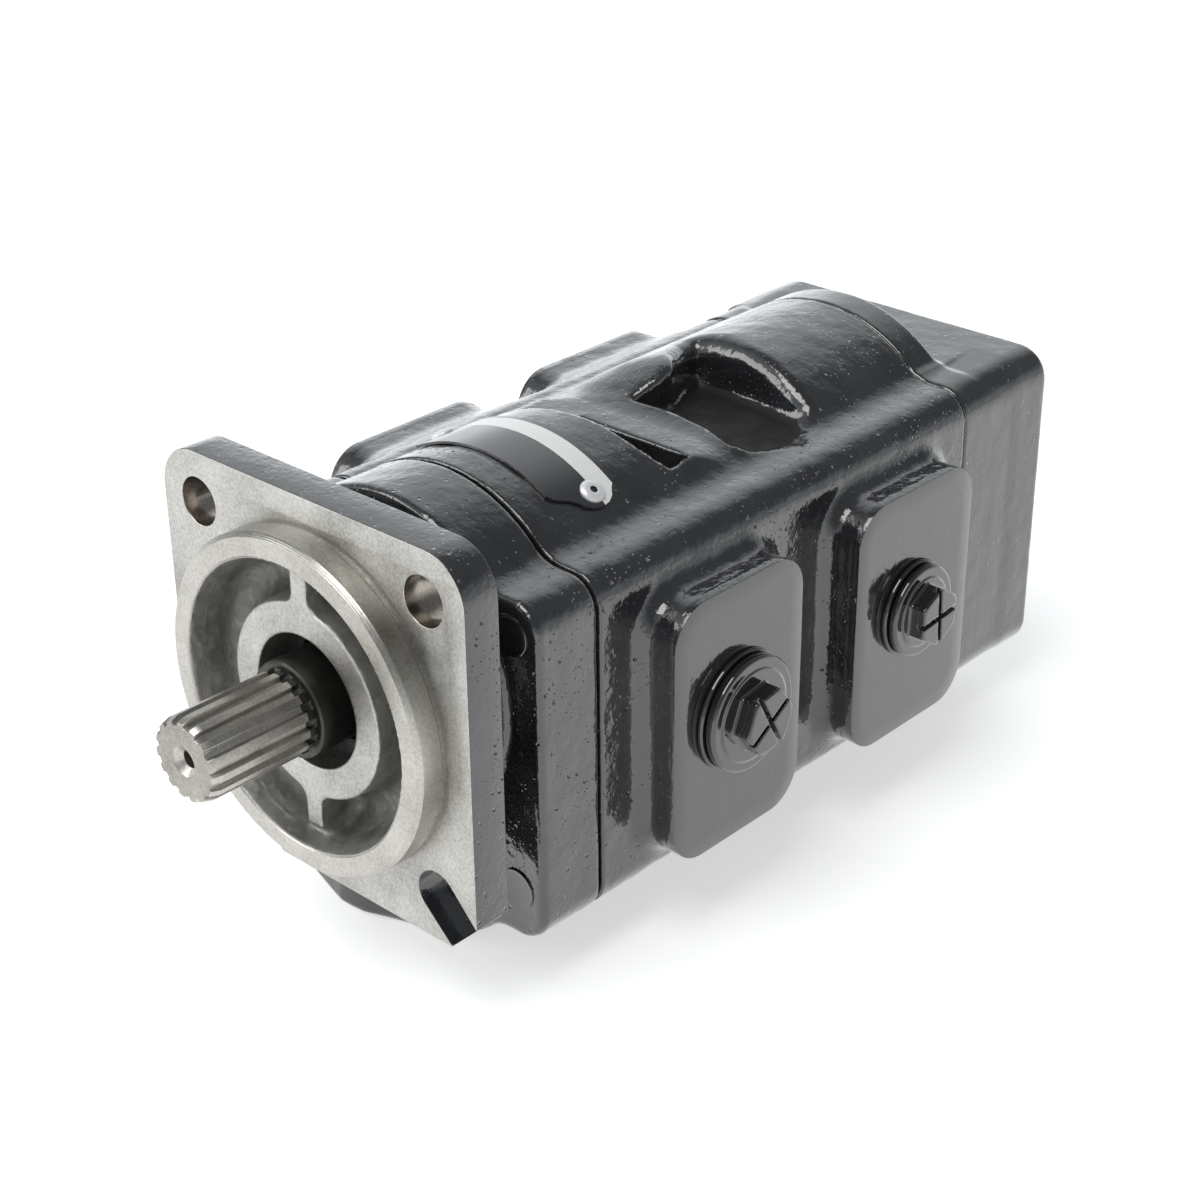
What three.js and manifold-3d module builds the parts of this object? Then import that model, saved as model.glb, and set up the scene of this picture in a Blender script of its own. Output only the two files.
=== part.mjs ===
// Tandem hydraulic gear pump, millimetres, +Z up.
// Pump coordinates used below: the drive axis is the Y axis (x = 0, z = 0), y = 0 is the
// machined mounting face of the square flange, the splined shaft points along -Y and the
// rear cover lies at +Y. The group at the end shifts everything so that the part's own
// origin is the centre of its bounding box, at the bottom.
import * as THREE from 'three';
import { mergeVertices } from 'three/addons/utils/BufferGeometryUtils.js';
import Module from 'manifold-3d';

const wasm = await Module();
wasm.setup();

// ---------------------------------------------------------------- driving dimensions
const GAP = 0.3;                 // clearance between pieces that touch

// body section
const W = 57.2;                  // half width of the castings
const R_ARCH = 51.6;             // arch radius round each gear axis
const C = 38;                    // gear centre distance (driven axis is below the drive axis)
const Z_SH = 34.8;               // shoulder height above the drive axis
const R_CORNER = 10;             // long corner radius, right side
const R_CORNER_L = 14.5;         // long corner radius, left side
const R_FILLET = 12;             // hollow between arch and shoulder
const N_ARCH = 9;                // facets per arch (odd: a flat facet at the apex)

// stations along the pump
const Y_FLANGE = 12;             // flange thickness
const Y_BLOCK = 28.5;            // front of the front cover's block
const Y_SEAM1 = 52.75;           // front cover to main housing
const Y_SEAM2 = 224.15;          // main housing to rear cover
const Y_RIM = 237;               // end of the arch rim on the rear cover
const Y_END = 270;               // rear face

// flange and pilot (SAE B, 4 bolt)
const F_HALF = 60;
const F_CORNER = 14;
const BOLT_SQ = 44.9;            // half of the 89.8 mm bolt square
const R_BOLT_HOLE = 7.2;
const R_PILOT = 50.8;
const PILOT_H = 9.5;
const R_RECESS = 43.6;
const Y_RECESS = 8;
const R_HUB = 29.5;
const Y_HUB = -4;
const R_SEAL_BORE = 20;
const CUT = 57;                  // distance of the cut lower-left corner from the axis
const RIB_HALF = 3.2;

// shaft
const Y_SHAFT = -46;
const R_SPLINE = 12.45;
const R_SPLINE_ROOT = 10.95;
const N_SPLINE = 15;
const Y_SPLINE_END = -10.5;
const R_JOURNAL = 14.3;

// gears and bearings
const N_GEAR = 12;
const GEAR_Y1 = [81, 114];       // front section gears
const GEAR_Y2 = [164.5, 197.5];  // rear section gears
const Z_SADDLE = 41;
const R_CAV = 22.1;
const R_BLOCK8 = 21.8;
const R_BLOCK_BORE = 16.8;
const R_BUSH_OUT = 16.5;
const R_BUSH_IN = 14.6;
const WALL = [135.5, 141.5];     // centre wall of the main housing

// port pads and plugs
const PAD_X = 70;
const PAD_R = 12.5;
const PAD_OUT = [{ y: [69, 125.5], z: [-61.3, 22] }, { y: [152.4, 210.8], z: [-61.3, 21.6] }];
const PAD_IN = [{ y: [68, 134.5], z: [-67, 29] }, { y: [150.5, 218], z: [-67, 29] }];
const PORT_Y = [97.2, 181];
const PORT_Z = -19;
const PLUG = [
  { flange: 18, af: 18, xFlange: 75.5, xHex: 82, shank: 13.2, corner: 0, slots: [120, 30] },
  { flange: 15, af: 17, xFlange: 74.9, xHex: 81, shank: 10.8, corner: 90, slots: [90, 0] },
];

// through bolts
const BOLT_AT = [[-47, 24.5, 'top_left'], [47, 24.5, 'top_right'], [-47, -56.5, 'bottom_left'], [47, -56.5, 'bottom_right']];
const R_BOLT = 6;
const R_HEAD = 8.3;

const Y_MID = (Y_SHAFT + Y_END) / 2;
const Z_BOTTOM = -(C + R_ARCH * Math.cos(Math.PI / 180 * 42.6 / N_ARCH));

// ---------------------------------------------------------------- geometry helpers
const rad = (d) => (d * Math.PI) / 180;

// closed mesh -> Manifold; flips the mesh if it is inside out
function solid(geometry) {
  let g = geometry.clone();
  g.deleteAttribute('normal');
  g.deleteAttribute('uv');
  g = mergeVertices(g, 1e-4);
  const p = g.getAttribute('position');
  const src = g.getIndex().array;
  const tri = [];
  let vol = 0;
  const v = (i) => new THREE.Vector3(p.getX(i), p.getY(i), p.getZ(i));
  for (let i = 0; i < src.length; i += 3) {
    const [a, b, c] = [src[i], src[i + 1], src[i + 2]];
    if (a === b || b === c || a === c) continue;
    tri.push(a, b, c);
    vol += v(a).dot(v(b).cross(v(c)));
  }
  if (vol < 0) for (let i = 0; i < tri.length; i += 3) [tri[i + 1], tri[i + 2]] = [tri[i + 2], tri[i + 1]];
  const verts = new Float32Array(p.count * 3);
  for (let i = 0; i < p.count; i++) verts.set([p.getX(i), p.getY(i), p.getZ(i)], i * 3);
  return new wasm.Manifold(new wasm.Mesh({ numProp: 3, vertProperties: verts, triVerts: new Uint32Array(tri) }));
}

// loft between sections of equal point count; map turns (u, v, w) into a point
function loft(sections, map) {
  const n = sections[0].pts.length;
  const turn = THREE.ShapeUtils.area(sections[0].pts.map(([u, v]) => new THREE.Vector2(u, v))) < 0;
  if (turn) sections = sections.map((s) => ({ w: s.w, pts: s.pts.slice().reverse() }));
  const pos = [];
  for (const s of sections) for (const [u, v] of s.pts) pos.push(...map(u, v, s.w));
  const idx = [];
  for (let k = 0; k + 1 < sections.length; k++) {
    for (let i = 0; i < n; i++) {
      const j = (i + 1) % n;
      const a = k * n + i, a2 = k * n + j, b = a + n, b2 = a2 + n;
      idx.push(a, b, a2, a2, b, b2);
    }
  }
  const cap = (s, off, flip) => {
    const contour = s.pts.map(([u, v]) => new THREE.Vector2(u, v));
    for (const [a, b, c] of THREE.ShapeUtils.triangulateShape(contour, [])) {
      if (flip) idx.push(off + a, off + c, off + b);
      else idx.push(off + a, off + b, off + c);
    }
  };
  cap(sections[0], 0, false);
  cap(sections[sections.length - 1], (sections.length - 1) * n, true);
  const g = new THREE.BufferGeometry();
  g.setAttribute('position', new THREE.Float32BufferAttribute(pos, 3));
  g.setIndex(idx);
  return solid(g);
}
const alongY = (u, v, w) => [u, w, v];       // outline in (x, z), extruded along y
const alongX = (u, v, w) => [w, u, v];       // outline in (y, z), extruded along x
const alongZ = (u, v, w) => [u, v, w];       // outline in (x, y), extruded along z
const prism = (pts, w0, w1, map = alongY) => loft([{ w: w0, pts }, { w: w1, pts }], map);

// body of revolution about a line parallel to Y through (cx, cz); profile = [r, y] points
function turnY(profile, segs = 32, cx = 0, cz = 0) {
  const g = new THREE.LatheGeometry(profile.map(([r, y]) => new THREE.Vector2(r, y)), segs);
  g.rotateY(Math.PI / segs);
  g.translate(cx, 0, cz);
  return solid(g);
}
// the same about a line parallel to X through (cy, cz); profile = [r, x] points
function turnX(profile, segs = 32, cy = 0, cz = 0) {
  const g = new THREE.LatheGeometry(profile.map(([r, x]) => new THREE.Vector2(r, x)), segs);
  g.rotateZ(-Math.PI / 2);
  g.translate(0, cy, cz);
  return solid(g);
}
const cylY = (r, y0, y1, segs, cx, cz) => turnY([[0, y0], [r, y0], [r, y1], [0, y1]], segs, cx, cz);
const cylX = (r, x0, x1, segs, cy, cz) => turnX([[0, x0], [r, x0], [r, x1], [0, x1]], segs, cy, cz);
const ringY = (ri, ro, y0, y1, segs, cx, cz) => turnY([[ri, y0], [ro, y0], [ro, y1], [ri, y1], [ri, y0]], segs, cx, cz);

function box(x0, x1, y0, y1, z0, z1) {
  const g = new THREE.BoxGeometry(x1 - x0, y1 - y0, z1 - z0);
  g.translate((x0 + x1) / 2, (y0 + y1) / 2, (z0 + z1) / 2);
  return solid(g);
}
const arc = (cx, cz, r, a0, a1, n) =>
  Array.from({ length: n + 1 }, (_, i) => {
    const a = rad(a0 + ((a1 - a0) * i) / n);
    return [cx + r * Math.cos(a), cz + r * Math.sin(a)];
  });
const union = (list) => list.reduce((a, b) => a.add(b));
const minus = (a, list) => list.reduce((s, b) => s.subtract(b), a);

// ---------------------------------------------------------------- outlines in (x, z)
// casting section: arch, hollow, shoulder and rounded corner above, mirrored below
function bodyOutline(inset = 0) {
  const r = R_ARCH - inset, rf = R_FILLET + inset, rc = R_CORNER - inset, rl = R_CORNER_L - inset;
  const zs = Z_SH - inset, w = W - inset;
  const zf = zs + rf;
  const xf = Math.sqrt((r + rf) ** 2 - zf ** 2);
  const th = (Math.atan2(zf, xf) * 180) / Math.PI;
  const upper = [
    ...arc(w - rc, zs - rc, rc, 0, 90, 5),
    ...arc(xf, zf, rf, 270, 180 + th, 4),
    ...arc(0, 0, r, th, 180 - th, N_ARCH).slice(1, -1),
    ...arc(-xf, zf, rf, -th, -90, 4),
    ...arc(-w + rl, zs - rl, rl, 90, 180, 6),
  ];
  const lower = upper.slice().reverse().map(([x, z]) => [x, -C - z]);
  return [...upper, ...lower];
}
// rectangular section of the rear cover, same corners
function blockOutline(inset = 0, top = 35.6) {
  const w = W - inset, rc = R_CORNER - inset, rl = R_CORNER_L - inset;
  const zt = top - inset, zb = -C - Z_SH + inset;
  return [
    ...arc(w - rc, zt - rc, rc, 0, 90, 5), ...arc(-w + rl, zt - rl, rl, 90, 180, 6),
    ...arc(-w + rl, zb + rl, rl, 180, 270, 6), ...arc(w - rc, zb + rc, rc, 270, 360, 5),
  ];
}
function roundRect(u0, u1, v0, v1, r, n = 4) {
  return [
    ...arc(u1 - r, v1 - r, r, 0, 90, n), ...arc(u0 + r, v1 - r, r, 90, 180, n),
    ...arc(u0 + r, v0 + r, r, 180, 270, n), ...arc(u1 - r, v0 + r, r, 270, 360, n),
  ];
}
// stadium round both gear axes
const stadium = (r, n = 12) => [...arc(0, 0, r, 0, 180, n), ...arc(0, -C, r, 180, 360, n)];
const stadiumRing = (ri, ro, y0, y1) => prism(stadium(ro), y0, y1).subtract(prism(stadium(ri), y0 - 1, y1 + 1));
// figure-of-eight round both gear axes
const eight = (r, y0, y1, segs) => cylY(r, y0, y1, segs, 0, 0).add(cylY(r, y0, y1, segs, 0, -C));
// open strip of given width along a path
function strip(path, width) {
  const l = [], rgt = [];
  for (let i = 0; i < path.length; i++) {
    const a = path[Math.max(i - 1, 0)], b = path[Math.min(i + 1, path.length - 1)];
    const d = Math.hypot(b[0] - a[0], b[1] - a[1]);
    const nx = (-(b[1] - a[1]) / d) * (width / 2), nz = ((b[0] - a[0]) / d) * (width / 2);
    l.push([path[i][0] + nx, path[i][1] + nz]);
    rgt.push([path[i][0] - nx, path[i][1] - nz]);
  }
  return [...rgt, ...l.reverse()];
}

// ---------------------------------------------------------------- nodes
const group = new THREE.Group();
const pump = new THREE.Group();
pump.position.set(0, -Y_MID, -Z_BOTTOM);
group.add(pump);

const MATERIALS = {
  black: { color: 0x17181a, roughness: 0.22, metalness: 0.1 },
  machined: { color: 0xb9b4ad, roughness: 0.42, metalness: 1.0 },
  steel: { color: 0x8f8982, roughness: 0.34, metalness: 1.0 },
  bright: { color: 0xc9c9c9, roughness: 0.25, metalness: 1.0 },
  aluminium: { color: 0xbfc1c4, roughness: 0.35, metalness: 1.0 },
  bronze: { color: 0x9a7446, roughness: 0.4, metalness: 1.0 },
  rubber: { color: 0x101010, roughness: 0.75, metalness: 0.0 },
  plate: { color: 0x3a3c3e, roughness: 0.4, metalness: 0.6 },
};
function node(name, manifold, material, parent = pump) {
  const m = manifold.getMesh();
  const g = new THREE.BufferGeometry();
  const vp = m.vertProperties, np = m.numProp;
  const pos = new Float32Array((vp.length / np) * 3);
  for (let i = 0; i < vp.length / np; i++) pos.set([vp[i * np], vp[i * np + 1], vp[i * np + 2]], i * 3);
  g.setAttribute('position', new THREE.BufferAttribute(pos, 3));
  g.setIndex(new THREE.BufferAttribute(new Uint32Array(m.triVerts), 1));
  g.computeVertexNormals();
  const mesh = new THREE.Mesh(g, new THREE.MeshStandardMaterial(MATERIALS[material]));
  mesh.name = name;
  parent.add(mesh);
  return mesh;
}

// ---------------------------------------------------------------- front cover
// square flange: rounded upper corners, open 45 degree slot lower right, cut lower left
function flangeOutline() {
  const h = F_HALF, b = BOLT_SQ, r = R_BOLT_HOLE, q = r * Math.SQRT2;
  const cut = CUT * Math.SQRT2 - h;
  return [
    [-h, -cut], [-cut, -h], [h - q, -h],
    ...arc(b, -b, r, 225, 45, 8),
    [h, -h + q],
    ...arc(h - F_CORNER, h - F_CORNER, F_CORNER, 0, 90, 5),
    ...arc(-h + F_CORNER, h - F_CORNER, F_CORNER, 90, 180, 5),
  ];
}
{
  const flange = prism(flangeOutline(), 0, Y_FLANGE);
  const pilot = turnY([[0, 1], [R_PILOT - 0.8, 1], [R_PILOT - 0.8, -0.6], [R_PILOT, -1.2],
    [R_PILOT, -PILOT_H + 1.6], [R_PILOT - 1.6, -PILOT_H], [0, -PILOT_H]], 48);
  const neck = cylY(46, 10, 30, 36, 0, 0);
  const block = loft([
    { w: Y_BLOCK, pts: bodyOutline(2.4) }, { w: Y_BLOCK + 0.8, pts: bodyOutline(0.8) },
    { w: Y_BLOCK + 2.6, pts: bodyOutline(0) }, { w: Y_SEAM1 - GAP / 2, pts: bodyOutline(0) },
  ], alongY);
  // lump below the flange at the lower left, reaching forward from the block
  const lump = prism([[-40, 32], [-40, 18.5], [-36, 17.4], [-17, 17.4], [-10, 19.8], [-4, 23.2], [4, 26.4], [14, 28.2], [14, 32]], -90, -38, alongZ)
    .intersect(cylY(R_ARCH - 0.25, 10, 33, 48, 0, -C));
  let body = union([flange, pilot, neck, block, lump]);
  // cast recess round the hub
  const recess = turnY([[R_HUB - 1, -12], [R_RECESS, -12], [R_RECESS, -PILOT_H], [R_RECESS - 1, 4],
    [R_RECESS - 3, Y_RECESS], [R_HUB + 4, Y_RECESS], [R_HUB + 1, 5], [R_HUB, Y_HUB], [R_HUB - 1, Y_HUB], [R_HUB - 1, -12]], 48);
  body = body.subtract(recess);
  body = union([body,
    box(-RIB_HALF, RIB_HALF, Y_HUB, Y_RECESS + 1, R_HUB - 2, R_RECESS + 1),
    prism([[-R_HUB + 2, Y_HUB], [-R_HUB + 2, Y_RECESS + 1], [-R_RECESS - 1, Y_RECESS + 1], [-R_RECESS - 1, 2], [-41, Y_HUB]], -RIB_HALF, RIB_HALF, (u, v, w) => [w, v, u]),
  ]);
  body = minus(body, [
    cylY(R_HUB, -12, Y_HUB, 48, 0, 0),
    // seal bore with a circlip groove, then the shaft clearance bore
    turnY([[0, -6], [R_SEAL_BORE + 0.8, -6], [R_SEAL_BORE + 0.8, Y_HUB], [R_SEAL_BORE, Y_HUB + 0.8], [R_SEAL_BORE, 9.4], [21.2, 9.4], [21.2, 11.2],
      [R_SEAL_BORE, 11.2], [R_SEAL_BORE, 19.4], [16.2, 19.4], [16.2, Y_SEAM1 + 2], [0, Y_SEAM1 + 2]], 40),
    cylY(R_BOLT_HOLE, -2, Y_FLANGE + 2, 20, -BOLT_SQ, BOLT_SQ),
    cylY(R_BOLT_HOLE, -2, Y_FLANGE + 2, 20, BOLT_SQ, BOLT_SQ),
    stadiumRing(25.5, 28.6, Y_SEAM1 - GAP / 2 - 2.4, Y_SEAM1 + 2),
    cylY(4.3, 44.4, Y_SEAM1 + 2, 12, 46, -2), cylY(4.3, 44.4, Y_SEAM1 + 2, 12, -46, -36),
    ...BOLT_AT.map(([x, z]) => cylY(R_BOLT + 0.4, Y_BLOCK - 2, Y_SEAM1 + 2, 16, x, z)),
  ]);
  node('front_cover', body, 'black');
}

// ---------------------------------------------------------------- main housing
function pad(spec, side) {
  const { y, z } = spec;
  const o = (d) => roundRect(y[0] - d, y[1] + d, z[0] - d, z[1] + d, PAD_R + d);
  const s = side;
  return loft([
    { w: s * (W - 6), pts: o(4.6) }, { w: s * W, pts: o(4.6) }, { w: s * (W + 1.4), pts: o(1.6) },
    { w: s * (W + 4.6), pts: o(0.3) }, { w: s * (PAD_X - 0.4), pts: o(0) }, { w: s * PAD_X, pts: o(-0.4) },
  ], alongX);
}
{
  const y0 = Y_SEAM1 + GAP / 2, y1 = Y_SEAM2 - GAP / 2;
  const trunk = prism(bodyOutline(0), y0, y1);
  // a foot on the lower left that lies level with the belly
  const footPts = [[55, 30], [54.4, 33], [52, 39.5], [49, 46], [47.6, 49.4], [45, -Z_BOTTOM - C], [-4, -Z_BOTTOM - C], [-4, 30]];
  const foot = prism(footPts.map(([x, z]) => [-x, -C - z]), 103.8, 120.3);
  let body = union([trunk, foot, ...PAD_OUT.map((p) => pad(p, 1)), ...PAD_IN.map((p) => pad(p, -1))]);
  // flat saddle between the two arches: a curved step down behind the front arch, a ramp up to the rear one
  const step = [[-19, 100.3], [0, 102.3], [17, 104.7], [23, 106], [28, 108], [31.6, 110.4]];
  const saddle = prism([[-40, 98.2], ...step, [36, 114.5], [42, 119], [44, 122], [44, 160], [-40, 160]], Z_SADDLE, 60, alongZ)
    .intersect(prism([[90, Z_SADDLE - 1], [138, Z_SADDLE - 1], [138, Z_SADDLE], [140.2, 42.2], [146.4, 48.6], [149.4, 50.9], [153, 52.6], [153, 60], [90, 60]], -60, 60, alongX));
  // slot behind the front arch, then the open pocket in front of the rear arch
  const slot = prism([[-12, 101], [0, 102.3], ...step.slice(2), [30.6, 120.1], [-12, 120.1]], 31, 60, alongZ);
  const pocketPlan = [[-7.5, 138.6], [31, 137.2], [36, 141], [38.5, 147], [38.8, 156], [38, 163], [36, 168.3], [31, 172], [14, 174.4], [0, 175.4], [-9, 175.9], [-12.6, 174.4], [-12, 169.5], [-4.5, 153], [-4.5, 147]];
  const pocket = prism(pocketPlan, 34.4, 60, alongZ);
  const cuts = [
    saddle, slot, pocket,
    eight(R_CAV, y0 - 2, WALL[0], 32),
    eight(R_CAV, WALL[1], y1 + 2, 32),
    cylY(15.2, WALL[0] - 1, WALL[1] + 1, 24, 0, 0),
    cylY(4.3, y0 - 2, 61, 12, 46, -2), cylY(4.3, y0 - 2, 61, 12, -46, -36),
    cylY(4.3, 216, y1 + 2, 12, -46, -2), cylY(4.3, 216, y1 + 2, 12, 46, -36),
    ...BOLT_AT.map(([x, z]) => cylY(R_BOLT + 0.6, y0 - 2, y1 + 2, 16, x, z)),
  ];
  PORT_Y.forEach((py, i) => {
    const pl = PLUG[i];
    // discharge side (+X) and suction side (-X): plug bore, then the gallery to the gears
    for (const s of [1, -1]) {
      cuts.push(cylX(pl.shank + 0.3, Math.min(s * 54, s * 80), Math.max(s * 54, s * 80), 24, py, PORT_Z));
      cuts.push(cylX(9, Math.min(s * 8, s * 56), Math.max(s * 8, s * 56), 16, py, PORT_Z));
    }
  });
  for (const a of [55.4, 124.6]) {
    const g = new THREE.CylinderGeometry(1.8, 1.8, 9, 10);
    g.translate(0, 49, 0);
    g.rotateX(Math.PI / 2);
    g.rotateY(-rad(a - 90));
    g.translate(0, 79.4, 0);
    cuts.push(solid(g));
  }
  node('main_housing', minus(body, cuts), 'black');
}

// ---------------------------------------------------------------- rear cover
{
  const y0 = Y_SEAM2 + GAP / 2;
  const rim = loft([{ w: y0, pts: bodyOutline(0) }, { w: Y_RIM - 2, pts: bodyOutline(0) }, { w: Y_RIM, pts: bodyOutline(1.6) }], alongY);
  const block = loft([
    { w: y0 + 4, pts: blockOutline(0.4, 35.2) }, { w: Y_RIM - 3, pts: blockOutline(0, 35.2) },
    { w: Y_END - 2, pts: blockOutline(0, 36.5) }, { w: Y_END, pts: blockOutline(2, 36.5) },
  ], alongY);
  const cuts = [
    stadiumRing(25.5, 28.6, y0 - 2, y0 + 2.4),
    cylY(16.2, y0 - 2, y0 + 14, 24, 0, 0), cylY(16.2, y0 - 2, y0 + 14, 24, 0, -C),
    cylY(4.3, y0 - 2, 233, 12, -46, -2), cylY(4.3, y0 - 2, 233, 12, 46, -36),
  ];
  for (const [x, z] of BOLT_AT) {
    cuts.push(cylY(R_BOLT + 0.6, y0 - 2, 256, 16, x, z), cylY(R_HEAD + 0.5, 254, Y_END + 2, 16, x, z));
  }
  node('rear_cover', minus(union([rim, block]), cuts), 'black');
}

// ---------------------------------------------------------------- through bolts, washers, dowels
for (const [x, z, tag] of BOLT_AT) {
  const bolt = turnY([[0, 28.2], [5.2, 28.2], [R_BOLT, 29], [R_BOLT, 256.3], [R_HEAD, 256.3], [R_HEAD, 265.9], [R_HEAD - 0.8, 266.7],
    [0, 266.7]], 16, x, z)
    .subtract(prism(arc(x, z, 5.77, 0, 360, 6).slice(0, 6), 261, 268));
  node(`through_bolt_${tag}`, bolt, 'steel');
  node(`bolt_washer_${tag}`, ringY(R_BOLT + 0.4, R_HEAD, 254.3, 256, 16, x, z), 'steel');
}
const dowel = (y0, x, z) => turnY([[0, y0], [3.4, y0], [4, y0 + 0.6], [4, y0 + 14.9], [3.4, y0 + 15.5], [0, y0 + 15.5]], 12, x, z);
node('front_dowel_right', dowel(45, 46, -2), 'steel');
node('front_dowel_left', dowel(45, -46, -36), 'steel');
node('rear_dowel_left', dowel(216.5, -46, -2), 'steel');
node('rear_dowel_right', dowel(216.5, 46, -36), 'steel');

// ---------------------------------------------------------------- body seals
node('front_body_seal', stadiumRing(25.8, 28.3, Y_SEAM1 - GAP / 2 - 2.1, Y_SEAM1), 'rubber');
node('rear_body_seal', stadiumRing(25.8, 28.3, Y_SEAM2, Y_SEAM2 + GAP / 2 + 2.1), 'rubber');

// ---------------------------------------------------------------- shaft seal and circlip
node('shaft_seal', turnY([[14.7, 15], [16.4, 12.2], [19.7, 12.2], [19.7, 19], [16.6, 19], [16.6, 17], [14.7, 16.6], [14.7, 15]], 32), 'rubber');
{
  const ring = ringY(17.4, 20.9, 9.8, 10.9, 32, 0, 0);
  const gap = prism([[-3, 0], [3, 0], [3.6, 24], [-3.6, 24]], 9, 12);
  const ear = (s) => cylY(2.1, 9.8, 10.9, 12, s * 4.6, 16.6).subtract(cylY(0.9, 9, 12, 8, s * 4.6, 16.6));
  node('seal_circlip', union([ring.subtract(gap), ear(1), ear(-1)]).subtract(cylY(14.9, 9, 12, 32, 0, 0)), 'steel');
}

// ---------------------------------------------------------------- gears and shafts
// involute outline with N_GEAR teeth, 25 degree pressure angle, centred on (cx, cz);
// phase is the direction of one tooth in degrees
function gearOutline(cx, cz, phase) {
  const rp = C / 2, m = (2 * rp) / N_GEAR, al = rad(25), rb = rp * Math.cos(al);
  const ro = rp + 0.9 * m, rr = rp - 1.18 * m;
  const inv = (a) => Math.tan(a) - a;
  const half = Math.PI / (2 * N_GEAR) - 0.16 / rp;
  const at = (r) => half + inv(al) - inv(Math.acos(Math.min(1, rb / r)));
  const radii = [rb + 0.02, 18.2, 19.8, ro];
  const pts = [];
  for (let k = 0; k < N_GEAR; k++) {
    const c = rad(phase) + (2 * Math.PI * k) / N_GEAR;
    const put = (r, a) => pts.push([cx + r * Math.cos(c + a), cz + r * Math.sin(c + a)]);
    put(rr, -at(rb + 0.02) - 0.02);
    for (const r of radii) put(r, -at(r));
    for (const r of radii.slice().reverse()) put(r, at(r));
    put(rr, at(rb + 0.02) + 0.02);
  }
  return pts;
}
function splineOutline(rt) {
  const pts = [];
  const tip = Math.min(rt, R_SPLINE), root = Math.min(R_SPLINE_ROOT, rt);
  for (let k = 0; k < N_SPLINE; k++) {
    const c = 90 + (360 * k) / N_SPLINE;
    for (const [r, a] of [[root, -7.6], [tip, -3.4], [tip, 3.4], [root, 7.6]]) {
      pts.push([r * Math.cos(rad(c + a)), r * Math.sin(rad(c + a))]);
    }
  }
  return pts;
}
const shaftBar = (y0, y1, cz, segs = 24) => turnY([[0, y0], [R_JOURNAL - 0.8, y0], [R_JOURNAL, y0 + 0.8], [R_JOURNAL, y1 - 0.8], [R_JOURNAL - 0.8, y1], [0, y1]], segs, 0, cz);
{
  const spline = loft([
    { w: Y_SHAFT, pts: splineOutline(R_SPLINE_ROOT + 0.35) }, { w: Y_SHAFT + 2.6, pts: splineOutline(R_SPLINE) },
    { w: Y_SPLINE_END + 0.3, pts: splineOutline(R_SPLINE) },
  ], alongY);
  const body = union([spline, shaftBar(Y_SPLINE_END, 135, 0), prism(gearOutline(0, 0, -90), ...GEAR_Y1)]);
  node('front_drive_gear_shaft', minus(body, [
    turnY([[0, Y_SHAFT - 1], [4.6, Y_SHAFT - 1], [4.6, Y_SHAFT], [2.9, Y_SHAFT + 2.6], [2.9, Y_SHAFT + 12], [0, Y_SHAFT + 13.6]], 16),
    cylY(8.4, 122, 137, 20, 0, 0),
  ]), 'steel');
}
node('front_driven_gear', prism(gearOutline(0, -C, 90 + 180 / N_GEAR), ...GEAR_Y1).add(shaftBar(53.6, 135, -C)), 'steel');
node('rear_drive_gear_shaft', prism(gearOutline(0, 0, -90), ...GEAR_Y2).add(shaftBar(142, 236, 0)).subtract(cylY(8.4, 140, 155, 20, 0, 0)), 'steel');
node('rear_driven_gear', prism(gearOutline(0, -C, 90 + 180 / N_GEAR), ...GEAR_Y2).add(shaftBar(142, 236, -C)), 'steel');
{
  const pts = [];
  for (let k = 0; k < 10; k++) for (const [r, a] of [[6.9, -10], [8, -5], [8, 5], [6.9, 10]]) pts.push([r * Math.cos(rad(36 * k + a)), r * Math.sin(rad(36 * k + a))]);
  node('shaft_coupling', prism(pts, 122.4, 154.6), 'steel');
}

// ---------------------------------------------------------------- bearing blocks, bushes, pressure seals
function sealPath() {
  return [...arc(0, 0, 19.2, 96, -65, 12), ...arc(0, -C, 19.2, 65, -96, 12)];
}
const BLOCKS = [
  ['front_section_front', 53.2, 80.7, 1], ['front_section_rear', 114.3, 135.2, -1],
  ['rear_section_front', 141.8, 164.2, 1], ['rear_section_rear', 197.8, 223.7, -1],
];
for (const [tag, a, b, side] of BLOCKS) {
  let blk = eight(R_BLOCK8, a, b, 24);
  blk = minus(blk, [cylY(R_BLOCK_BORE, a - 1, b + 1, 24, 0, 0), cylY(R_BLOCK_BORE, a - 1, b + 1, 24, 0, -C)]);
  const face = side > 0 ? a : b;
  const g0 = side > 0 ? face - 1 : face - 1.8, g1 = side > 0 ? face + 1.8 : face + 1;
  blk = blk.subtract(prism(strip(sealPath(), 2.2), g0, g1));
  node(`${tag}_bearing_block`, blk, 'aluminium');
  const s0 = side > 0 ? face + 0.1 : face - 1.5, s1 = side > 0 ? face + 1.5 : face - 0.1;
  node(`${tag}_pressure_seal`, prism(strip(sealPath(), 1.6), s0, s1), 'rubber');
  node(`${tag}_drive_bush`, ringY(R_BUSH_IN, R_BUSH_OUT, a + 0.6, b - 0.6, 24, 0, 0), 'bronze');
  node(`${tag}_driven_bush`, ringY(R_BUSH_IN, R_BUSH_OUT, a + 0.6, b - 0.6, 24, 0, -C), 'bronze');
}

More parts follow.
